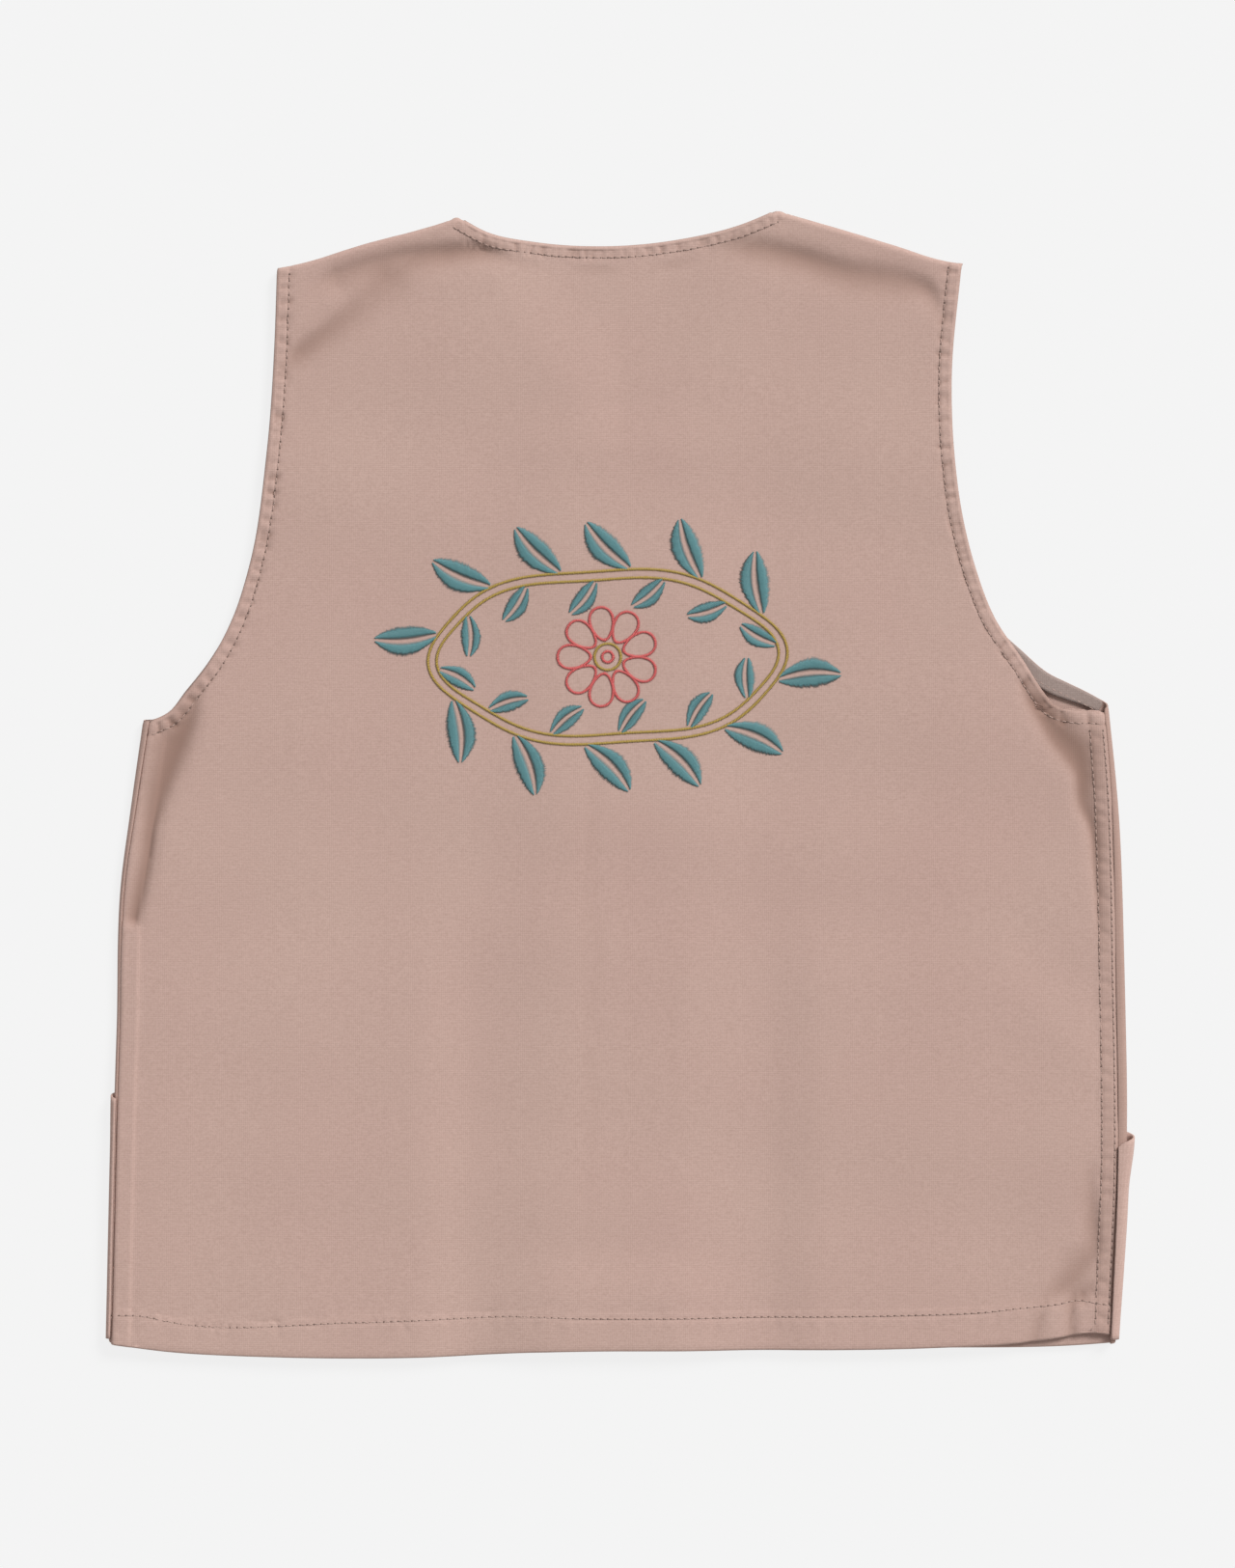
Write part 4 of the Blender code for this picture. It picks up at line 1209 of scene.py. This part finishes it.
@dataclass
class Stitches:
    """Stitches of one thread, gathered and then joined into one piece."""

    name: str
    panel: Panel
    radius: float = 0.2
    outwards: float = MAKE.wall / 2 + 0.06
    rise: float = 0.12
    hole_rise: float = 0.1
    segments: int = 4
    sides: int = 6
    stitch_share: float = 0.4
    # The needle holes are drawn as flat dark marks of painted shade, and dark_end paints shade on each
    # stitch's ends.
    hole_half: float = 0.38
    hole_radius: float = 0.31
    hole_height: float = 0.25
    dark_end: float = 0.7
    parts: list[tuple[Array, ...]] = field(default_factory=list)

    def add(self, starts: Array, ends: Array, radius: float, dark: float = 0.0) -> None:
        """Adds stitches between places on the panel's cut.

        Args:
            starts: Rows (across, up).
            ends: Rows (across, up).
            radius: Radius of the thread.
            dark: 1 for a flat dark mark of painted shade at needle holes, 0 for a thread.
        """
        middle = (starts + ends) / 2
        up = self.panel.normals(middle[:, 0], middle[:, 1])
        low, high = (self.panel.sheet(place[:, 0], place[:, 1], -self.outwards) for place in (starts, ends))
        self.parts.append((low, high, up, np.full(len(up), radius), np.full(len(up), dark)))

    def row(self, path: Line, pitch: float = MAKE.stitch_pitch) -> None:
        """Adds a row of machine stitches, and flat dark marks of painted shade at the needle holes between
        them.
        """
        length = path.reach[-1]
        places = (np.arange(int(length / pitch)) + 0.5) * pitch
        for centre, half, radius, dark in (
            (places, pitch * self.stitch_share, self.radius, 0.0),
            (places + pitch / 2, self.hole_half, self.hole_radius, 1.0),
        ):
            low, high = (path.at((centre + end) / length) for end in (-half, half))
            self.add(low, high, radius, dark)

    def make(self) -> Object:
        """Joins all the stitches into one mesh, with painted shade on their ends where they enter the cloth
        and on the needle holes' marks.
        """
        low, high, up, radius, dark = (np.concatenate(parts) for parts in zip(*self.parts))
        points, corners, sizes = spindle(self.segments, self.sides)
        along = high - low
        beside = np.cross(up, along)
        beside /= np.linalg.norm(beside, axis=1, keepdims=True)
        ends = (2 * points[:, 0]) ** 2
        height = radius * (1 + (self.hole_height - 1) * dark)
        rise = height[:, None] * points[:, 2] + (self.rise * (1 - dark))[:, None] * (1 - ends)
        rise += (self.hole_rise * dark)[:, None]
        width = radius[:, None] * points[:, 1]
        verts = low[:, None] + along[:, None] * (points[:, 0] + 0.5)[None, :, None]
        verts = verts + beside[:, None] * width[:, :, None] + up[:, None] * rise[:, :, None]
        count = len(low)
        mesh = bpy.data.meshes.new(self.name)
        starts = np.concatenate([[0], np.cumsum(sizes)[:-1]])
        mesh.vertices.add(count * len(points))
        mesh.loops.add(count * len(corners))
        mesh.polygons.add(count * len(sizes))
        mesh.vertices.foreach_set("co", (verts * MM).astype(np.float32).ravel())
        step = np.arange(count)[:, None]
        mesh.loops.foreach_set("vertex_index", (corners + step * len(points)).astype(np.int32).ravel())
        mesh.polygons.foreach_set("loop_start", (starts + step * len(corners)).astype(np.int32).ravel())
        mesh.update(calc_edges=True)
        mesh.validate()
        mesh.shade_smooth()
        # Painted shade: 1 on the needle holes' dark marks, rising toward each stitch's ends.
        hole = mesh.attributes.new("hole", "FLOAT", "POINT")
        share = np.maximum(dark[:, None], ends[None, :] ** 2 * self.dark_end)
        hole.data.foreach_set("value", share.astype(np.float32).ravel())
        piece = bpy.data.objects.new(self.name, mesh)
        bpy.context.scene.collection.objects.link(piece)
        return piece


ROW_PAST_LEFT_BAND = 0.9
SUNK_STITCH = 0.08
HEM_ROW_INSET = 1.3
LAP_ROWS = (1.8, 22.0)
POCKET_SIDE_ROWS = (1.6, 6.4)
POCKET_MOUTH_ROWS = (1.6, 14.0)


def back_seams(back: BackPanel) -> list[Stitches]:
    """The machine stitches that show on the back."""
    neck = Stitches("stitches_neck", back, outwards=MAKE.wall / 2 + 0.12)
    neck.row(BACK_NECK.beside(-MAKE.neck_band))
    hem = Stitches("stitches_back_hem", back)
    hem.row(HEM_ROW)
    found = [neck, hem]
    for side in Side:
        arm = Stitches(f"stitches_armhole_{side.word}", back)
        path = BACK_ARMHOLES[side].beside(side.value * MAKE.arm_band).dense
        to_seam = path[0] + (path[0] - path[6]) * (ROW_PAST_LEFT_BAND if side is Side.LEFT else 0.1)
        arm.row(Line(np.concatenate([to_seam[None], path[:-1:6], path[-1:]])))
        found.append(arm)
    fell = Stitches("stitches_fell_right", back)
    up = np.linspace(-213.0, UNDERARM_Y[Side.RIGHT] - MAKE.arm_band - 1.5, 24)
    for away in (MAKE.fell_near, MAKE.fell_far):
        fell.row(Line(np.stack([back_end(Side.RIGHT, up) - away, up], axis=1)))
    return [*found, fell]


def front_seams(front: FrontPanel) -> list[Stitches]:
    """The machine stitches of a front: hem, lap, armhole and pocket, and the facing's row inside."""
    side = front.side
    sunk = MAKE.wall / 2 - SUNK_STITCH
    body = Stitches(f"stitches_front_{side.word}", front, outwards=sunk, rise=0.0, hole_rise=0.0)
    across = np.linspace(-MAKE.lap + 1.0, front.low_edge - 2, 20)
    body.row(Line(np.stack([across, front.hem(across) + MAKE.hem_depth - HEM_ROW_INSET], axis=1)))
    low, high = float(front.hem(np.zeros(1))[0]) + 3, FRONT_NECK[0][1] - 2
    for inwards in LAP_ROWS:
        body.row(Line(((inwards - MAKE.lap, low), (inwards - MAKE.lap, 0.0), (inwards - MAKE.lap, high))))
    body.row(front.armhole.beside(MAKE.arm_band))
    name = f"stitches_pocket_{side.word}"
    pocket = Stitches(name, front, outwards=MAKE.layer + sunk, rise=0.0, hole_rise=0.0)
    mouth_y = POCKET.left_mouth_side_y if side is Side.LEFT else POCKET.mouth_side_y
    for inwards in POCKET_SIDE_ROWS:
        edge = POCKET.inner + inwards
        foot = float(front.hem(np.full(1, edge))[0]) + MAKE.hem_depth
        pocket.row(Line(((edge, foot), (edge, -150.0), (edge, POCKET.top_y - inwards))))
    corner, end = POCKET.mouth_inner, front.low_edge - 3
    fall = (mouth_y - POCKET.top_y) / (front.low_edge - corner) * (end - corner)
    for inwards in POCKET_MOUTH_ROWS:
        top = POCKET.top_y - inwards
        level = ((POCKET.inner + 2, top), (120.0, top), (corner, top))
        pocket.row(Line(level, ((corner, top), (end, top + fall))))
    facing = Stitches(f"stitches_facing_{side.word}", front, outwards=-MAKE.layer - MAKE.wall / 2)
    facing.row(Line(front.armhole.beside(MAKE.arm_band).dense[14::8]))
    return [body, pocket, facing]


@dataclass(frozen=True)
class Wreath:
    """Embroidery of the upper back, of this library's own: a ring of leaves round a daisy."""

    centre: tuple[float, float] = (-4.8, 49.6)
    ring: tuple[float, float] = (68.0, 33.0)
    ring_gap: float = 3.4
    column: float = 1.5
    column_pitch: float = 0.62
    leaf_count: int = 24
    leaf_length: float = 25.0
    leaf_width: float = 11.4
    fill_pitch: float = 0.46
    petals: int = 9
    petal_length: float = 13.0
    petal_width: float = 9.0
    eye: float = 5.2
    thread: float = 0.3
    seed: int = 41

    def column_along(self, work: Stitches, path: Array) -> None:
        """Adds a narrow column of slanted stitches along dense points (x, y)."""
        runs = np.linalg.norm(np.diff(path, axis=0), axis=1)
        reach = np.concatenate([[0.0], np.cumsum(runs)])
        places = np.arange(0.0, reach[-1], self.column_pitch)
        spots = np.stack([np.interp(places, reach, path[:, i]) for i in (0, 1)], axis=1)
        run = np.gradient(spots, axis=0)
        run /= np.linalg.norm(run, axis=1, keepdims=True)
        left = np.stack([-run[:, 1], run[:, 0]], axis=1)
        draw = np.random.default_rng(self.seed + len(places))
        half = self.column / 2 * draw.uniform(0.88, 1.14, len(places))[:, None]
        slant = run * 0.4
        work.add(spots - left * half - slant, spots + left * half + slant, self.thread)

    def ellipse(self, grow: float) -> Array:
        """Dense points on the ring, moved out by a distance."""
        turn = np.linspace(0, math.tau, 361)
        wave = 1.2 * np.sin(turn * 6 + 0.8)
        x = self.centre[0] + (self.ring[0] + grow + wave) * np.cos(turn)
        y = self.centre[1] + (self.ring[1] + grow + wave) * np.sin(turn)
        return np.stack([x, y], axis=1)

    def leaf(self, work: Stitches, root: Array, lean: float, size: float) -> None:
        """Adds one leaf of slanted fill stitches on both sides of an open vein."""
        length, half = self.leaf_length * size, self.leaf_width * size / 2
        ahead = np.array([math.cos(lean), math.sin(lean)])
        left = np.array([-ahead[1], ahead[0]])
        places = np.arange(0.6, length - 0.4, self.fill_pitch)
        share = places / length
        bow = 1.6 * size * np.sin(math.pi * share)
        wide = half * np.sin(math.pi * share**0.86) ** 0.8
        draw = np.random.default_rng(self.seed + int(abs(lean) * 100))
        for hand in (-1, 1):
            inner = root + np.outer(places, ahead) + np.outer(bow + hand * 0.4, left)
            edge = wide * draw.uniform(0.93, 1.06, len(places))
            outer = root + np.outer(places + edge * 0.42, ahead) + np.outer(bow + hand * (0.5 + edge), left)
            far = outer - root - np.outer(np.maximum((outer - root) @ ahead - length, 0), ahead)
            work.add(inner, root + far, self.thread)

    def petal(self, work: Stitches, lean: float) -> None:
        """Adds one round petal's outline."""
        turn = np.linspace(0.0, math.tau, 61)
        along = self.eye + 1.5 + self.petal_length * (1 - np.cos(turn)) / 2
        wide = self.petal_width / 2 * np.sin(turn) * (1 - 0.25 * np.cos(turn))
        ahead = np.array([math.cos(lean), math.sin(lean)])
        left = np.array([-ahead[1], ahead[0]])
        self.column_along(work, np.array(self.centre) + np.outer(along, ahead) + np.outer(wide, left))

    def work(self, back: BackPanel) -> list[Stitches]:
        """All the embroidery's stitches, one piece for each thread."""
        names = ("embroidery_teal", "embroidery_coral", "embroidery_mustard")
        teal, coral, mustard = (Stitches(name, back, segments=3, sides=4, rise=0.22) for name in names)
        for grow in (-self.ring_gap / 2, self.ring_gap / 2):
            self.column_along(mustard, self.ellipse(grow))
        ring = self.ellipse(0.0)
        runs = np.concatenate([[0.0], np.cumsum(np.linalg.norm(np.diff(ring, axis=0), axis=1))])
        for k in range(self.leaf_count):
            marks = runs[-1] * (k + np.array([0.25, 0.35])) / self.leaf_count
            spot, ahead = np.stack([np.interp(marks, runs, ring[:, i]) for i in (0, 1)], axis=1)
            ahead = ahead - spot
            outside = 1 if k % 2 else -1
            lean = math.atan2(ahead[1], ahead[0]) - outside * math.radians(48)
            out = np.array([math.cos(lean), math.sin(lean)])
            self.leaf(teal, spot + out * 2.6, lean, 1.0 if outside > 0 else 0.66)
        for k in range(self.petals):
            self.petal(coral, math.tau * (k + 0.5) / self.petals)
        turn = np.linspace(0, math.tau, 41)
        circle = np.stack([np.cos(turn), np.sin(turn)], axis=1)
        self.column_along(mustard, np.array(self.centre) + circle * self.eye)
        self.column_along(coral, np.array(self.centre) + circle * self.eye * 0.42)
        return [teal, coral, mustard]


def linear(code: str) -> Colour:
    """A colour's linear values.

    Args:
        code: An sRGB hex value, such as BDA196.

    Returns:
        Red, green, blue and alpha.
    """
    parts = [int(code[k : k + 2], 16) / 255 for k in (0, 2, 4)]
    return (*(part / 12.92 if part <= 0.04045 else ((part + 0.055) / 1.055) ** 2.4 for part in parts), 1.0)


def add_node(
    tree: NodeTree, kind: str, inputs: dict | None = None, **settings: object
) -> Node:
    """Adds a node with its settings and links.

    Args:
        tree: The node tree.
        kind: The node's type.
        inputs: Socket name or number to a value or to another node's output.
        settings: The node's own properties.

    Returns:
        The node.
    """
    node = tree.nodes.new(kind)
    for key, value in settings.items():
        setattr(node, key, value)
    for key, value in (inputs or {}).items():
        if isinstance(value, NodeSocket):
            tree.links.new(value, node.inputs[key])
        else:
            node.inputs[key].default_value = value
    return node


def noise(
    tree: NodeTree, place: NodeSocket, scale: float, detail: float = 2.0
) -> NodeSocket:
    """The value of a noise texture.

    Args:
        tree: The node tree.
        place: Coordinates.
        scale: Scale of the noise.
        detail: Number of octaves.

    Returns:
        The noise, from 0 to 1.
    """
    return add_node(
        tree, "ShaderNodeTexNoise", {"Vector": place, "Scale": scale, "Detail": detail}
    ).outputs["Fac"]


def ranged(
    tree: NodeTree, value: NodeSocket, before: tuple[float, float], after: tuple[float, float]
) -> NodeSocket:
    """A value moved from one range to another, and held at its ends.

    Args:
        tree: The node tree.
        value: The value.
        before: Range of the value.
        after: Range of the result.

    Returns:
        The result.
    """
    inputs = {
        "Value": value, "From Min": before[0], "From Max": before[1], "To Min": after[0], "To Max": after[1],
    }
    return add_node(tree, "ShaderNodeMapRange", inputs).outputs[0]


def calculated(
    tree: NodeTree, operation: str, first: NodeSocket, second: NodeSocket
) -> NodeSocket:
    """The result of a sum or another operation on two values."""
    return add_node(tree, "ShaderNodeMath", {0: first, 1: second}, operation=operation).outputs[0]


def new_material(name: str, inputs: dict) -> tuple[Material, NodeTree, Node]:
    """Starts a material.

    Args:
        name: Its name.
        inputs: Values of the shader's inputs.

    Returns:
        The material, its node tree and its shader.
    """
    made = bpy.data.materials.new(name)
    made.use_nodes = True
    shader = made.node_tree.nodes["Principled BSDF"]
    for key, value in inputs.items():
        shader.inputs[key].default_value = value
    return made, made.node_tree, shader


@dataclass(frozen=True)
class WovenCotton:
    """Garment-dyed cotton, plain woven from slubby yarn and brushed: matt, with a faint nap and no gloss.

    The yarns lie about 0.35 mm apart, which is under a pixel, so they are drawn 0.8 mm apart to show.
    """

    name: str
    colour: str
    deep: str
    warm: str
    # Colour of the painted shade in creases and along pressed edges.
    crease_shade: str
    yarn: float = 0.8
    roughness: float = 0.9
    sheen: float = 0.04

    def material(self) -> Material:
        """Builds the cloth from crossed yarns, slubs and the dye's faint clouds, with painted shade mixed in
        by the crease attribute.
        """
        made, tree, shader = new_material(self.name, {
            "Roughness": self.roughness, "Sheen Weight": self.sheen, "Sheen Roughness": 0.6, "IOR": 1.46,
            "Specular IOR Level": 0.25,
        })
        cut = add_node(tree, "ShaderNodeTexCoord").outputs["UV"]
        spot = add_node(tree, "ShaderNodeTexCoord").outputs["Object"]
        yarns = []
        for direction in ("X", "Y"):
            wave = add_node(
                tree, "ShaderNodeTexWave",
                {"Vector": cut, "Scale": math.tau / (20 * self.yarn * MM), "Distortion": 0.9, "Detail": 1.0,
                 "Detail Scale": 2.0},
                wave_type="BANDS", bands_direction=direction,
            )
            yarns.append(wave.outputs["Fac"])
        weave = calculated(tree, "ADD", *yarns)
        slub_place = add_node(tree, "ShaderNodeMapping", {"Vector": cut, "Scale": (220.0, 1500.0, 900.0)})
        slubs = noise(tree, slub_place.outputs[0], 1.0)
        clouds = noise(tree, spot, 11.0, detail=3.0)
        dye_share = ranged(tree, clouds, (0.35, 0.7), (0.0, 1.0))
        dye = mix_colour(tree, dye_share, linear(self.colour), linear(self.warm))
        thread = ranged(tree, weave, (0.3, 1.7), (0.14, 0.0))
        slub_share = ranged(tree, slubs, (0.35, 0.7), (0.12, 0.0))
        fleck_share = ranged(tree, noise(tree, spot, 1250.0), (0.32, 0.62), (0.2, 0.0))
        shade = calculated(tree, "ADD", calculated(tree, "ADD", thread, slub_share), fleck_share)
        crease = add_node(tree, "ShaderNodeAttribute", attribute_name="crease").outputs["Fac"]
        mixed = mix_colour(tree, shade, dye, linear(self.deep))
        # Painted shade: darkens the cloth toward crease_shade in creases, pressed rims, stitch rows and
        # turned strips.
        mixed = mix_colour(tree, crease, mixed, linear(self.crease_shade))
        tree.links.new(mixed, shader.inputs["Base Color"])
        relief = calculated(tree, "ADD", weave, slubs)
        bump = add_node(tree, "ShaderNodeBump", {"Height": relief, "Strength": 0.2, "Distance": 0.0001})
        tree.links.new(bump.outputs[0], shader.inputs["Normal"])
        return made


@dataclass(frozen=True)
class SpunThread:
    """Thread: matt spun cotton for the seams, or rayon with a soft gloss for the embroidery."""

    name: str
    colour: str
    deep: str
    roughness: float = 0.85
    sheen: float = 0.1
    ply: float = 0.5

    def material(self) -> Material:
        """Builds the thread, with painted shade where it enters the cloth and on the needle holes' marks."""
        made, tree, shader = new_material(
            self.name, {"Roughness": self.roughness, "IOR": 1.5, "Sheen Weight": self.sheen}
        )
        hole = add_node(tree, "ShaderNodeAttribute", attribute_name="hole").outputs["Fac"]
        spot = add_node(tree, "ShaderNodeTexCoord").outputs["Object"]
        uneven = ranged(tree, noise(tree, spot, 1 / (self.ply * MM)), (0.3, 0.7), (0.0, 0.3))
        # The deep colour serves both as painted shade at the needle holes and stitch ends and as the ply's
        # real unevenness.
        dark = calculated(tree, "MAXIMUM", hole, uneven)
        colour = mix_colour(tree, dark, linear(self.colour), linear(self.deep))
        tree.links.new(colour, shader.inputs["Base Color"])
        return made


def resin_material() -> Material:
    """Cast polyester resin of the buttons: smooth, faintly mottled, with a satin gloss."""
    made, tree, shader = new_material("polyester_resin", {"Roughness": 0.35, "IOR": 1.56})
    spot = add_node(tree, "ShaderNodeTexCoord").outputs["Object"]
    colour = mix_colour(tree, noise(tree, spot, 260.0), linear("8F7265"), linear("A58A7D"))
    tree.links.new(colour, shader.inputs["Base Color"])
    return made


def mix_colour(
    tree: NodeTree, share: NodeSocket, first: NodeSocket | Colour, second: Colour
) -> NodeSocket:
    """Mixes two colours, of which the second is fixed.

    Args:
        tree: The node tree.
        share: Share of the second colour.
        first: A linked or fixed colour.
        second: The fixed colour.

    Returns:
        The mixed colour.
    """
    node = tree.nodes.new("ShaderNodeMix")
    node.data_type = "RGBA"
    colours = [socket for socket in node.inputs if socket.type == "RGBA"]
    tree.links.new(share, node.inputs["Factor"])
    if isinstance(first, NodeSocket):
        tree.links.new(first, colours[0])
    else:
        colours[0].default_value = first
    colours[1].default_value = second
    return next(socket for socket in node.outputs if socket.type == "RGBA")


@dataclass
class Studio:
    """A pale table under soft light, and a camera straight above."""

    frame_height: float = 617.5
    camera_height: float = 1500.0
    focus_height: float = 3.0
    centre: tuple[float, float] = (-0.95, -0.38)
    sensor: float = 24.0
    table_size: float = 6000.0
    light_elevation: float = 38.0
    light_turn: float = -42.0
    light_strength: float = 3.1
    light_spread: float = 22.0
    sky: float = 0.42

    def build(self) -> None:
        """Makes the table, the lights and the camera."""
        mesh = bmesh.new()
        bmesh.ops.create_grid(mesh, x_segments=1, y_segments=1, size=self.table_size / 2 * MM)
        bmesh.ops.translate(mesh, verts=mesh.verts, vec=(0, 0, -0.0002))
        table = finished("table", mesh)
        table.data.materials.append(self.table_material())
        scene = bpy.context.scene
        sun = bpy.data.lights.new("key", "SUN")
        sun.energy = self.light_strength
        sun.angle = math.radians(self.light_spread)
        key = bpy.data.objects.new("key", sun)
        key.rotation_euler = (math.radians(self.light_elevation - 90), 0, math.radians(self.light_turn))
        scene.collection.objects.link(key)
        world = bpy.data.worlds.new("studio")
        world.use_nodes = True
        sky = world.node_tree.nodes["Background"]
        sky.inputs["Color"].default_value = (1.0, 1.0, 1.0, 1.0)
        sky.inputs["Strength"].default_value = self.sky
        scene.world = world
        lens = bpy.data.cameras.new("camera")
        lens.sensor_fit = "VERTICAL"
        lens.sensor_height = self.sensor
        lens.lens = self.sensor * (self.camera_height - self.focus_height) / self.frame_height
        lens.clip_end = 20.0
        camera = bpy.data.objects.new("camera", lens)
        camera.location = (self.centre[0] * MM, self.centre[1] * MM, self.camera_height * MM)
        scene.collection.objects.link(camera)
        scene.camera = camera
        scene.view_settings.view_transform = "Standard"
        scene.view_settings.look = "None"

    def table_material(self) -> Material:
        """Matt white table that glows faintly, as a light table does, so that shadows stay pale."""
        return new_material("matt_light_table", {
            "Base Color": (0.08, 0.08, 0.08, 1.0), "Roughness": 1.0, "Specular IOR Level": 0.0,
            "Emission Color": (1.0, 1.0, 1.0, 1.0), "Emission Strength": 0.823,
        })[0]


def place(piece: Object, slot: Slot, material: Material) -> None:
    """Dresses a piece, and lets it ride on the body."""
    piece.data.materials.append(material)
    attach(piece, BODY)
    LOG.info("%s: %d faces", piece.name, len(piece.data.polygons))


def main() -> None:
    """Builds and dresses the waistcoat."""
    logging.basicConfig(level=logging.INFO, format="%(message)s")
    for thing in list(bpy.data.objects):
        bpy.data.objects.remove(thing)
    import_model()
    Studio().build()
    # Each cloth's last colour is its painted shade in creases and pressed edges.
    cloth = WovenCotton("garment_dyed_cotton", "C6A99E", "96786C", "C4A59B", "97796D").material()
    inside = WovenCotton("cotton_inside", "A4938C", "74605A", "A08E87", "74605A").material()
    resin = resin_material()
    # Each thread's deep colour is its painted shade at needle holes and stitch ends, and the dark of its
    # uneven ply.
    sewing = SpunThread("spun_cotton_thread", "BFA499", "755F56").material()
    rayon = {
        slot: SpunThread(name, colour, deep, roughness=0.5, sheen=0.2).material()
        for slot, name, colour, deep in (
            (Slot.TEAL, "teal_rayon_thread", "5F9094", "335A60"),
            (Slot.CORAL, "coral_rayon_thread", "DA6462", "9C3A3E"),
            (Slot.MUSTARD, "mustard_rayon_thread", "B99C45", "7D6526"),
        )
    }
    back = BackPanel()
    seams = back_seams(back)
    piece = back.make("back_cloth")
    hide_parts("back")
    place(piece, Slot.CLOTH, cloth)
    for side in Side:
        front = FrontPanel(side)
        seams += front_seams(front)
        piece = front.make(f"front_cloth_{side.word}")
        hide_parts(f"front_{side.word}")
        place(piece, Slot.CLOTH, cloth)
        piece = ArmholeFacing(front).make()
        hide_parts(f"armhole_facing_{side.word}")
        place(piece, Slot.INSIDE, inside)
        piece = PocketPatch(front).make()
        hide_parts(f"pocket_{side.word}")
        place(piece, Slot.CLOTH, cloth)
    step = (MAKE.button_top_y - MAKE.button_bottom_y) / (MAKE.button_count - 1)
    for k in range(MAKE.button_count):
        place(Button(MAKE.button_top_y - k * step, k + 1).make(), Slot.BUTTON, resin)
    for seam in seams:
        place(seam.make(), Slot.SEWING, sewing)
    for work, (slot, material) in zip(Wreath().work(back), rayon.items()):
        place(work.make(), slot, material)
    bpy.context.view_layer.update()


if __name__ == "__main__":
    main()
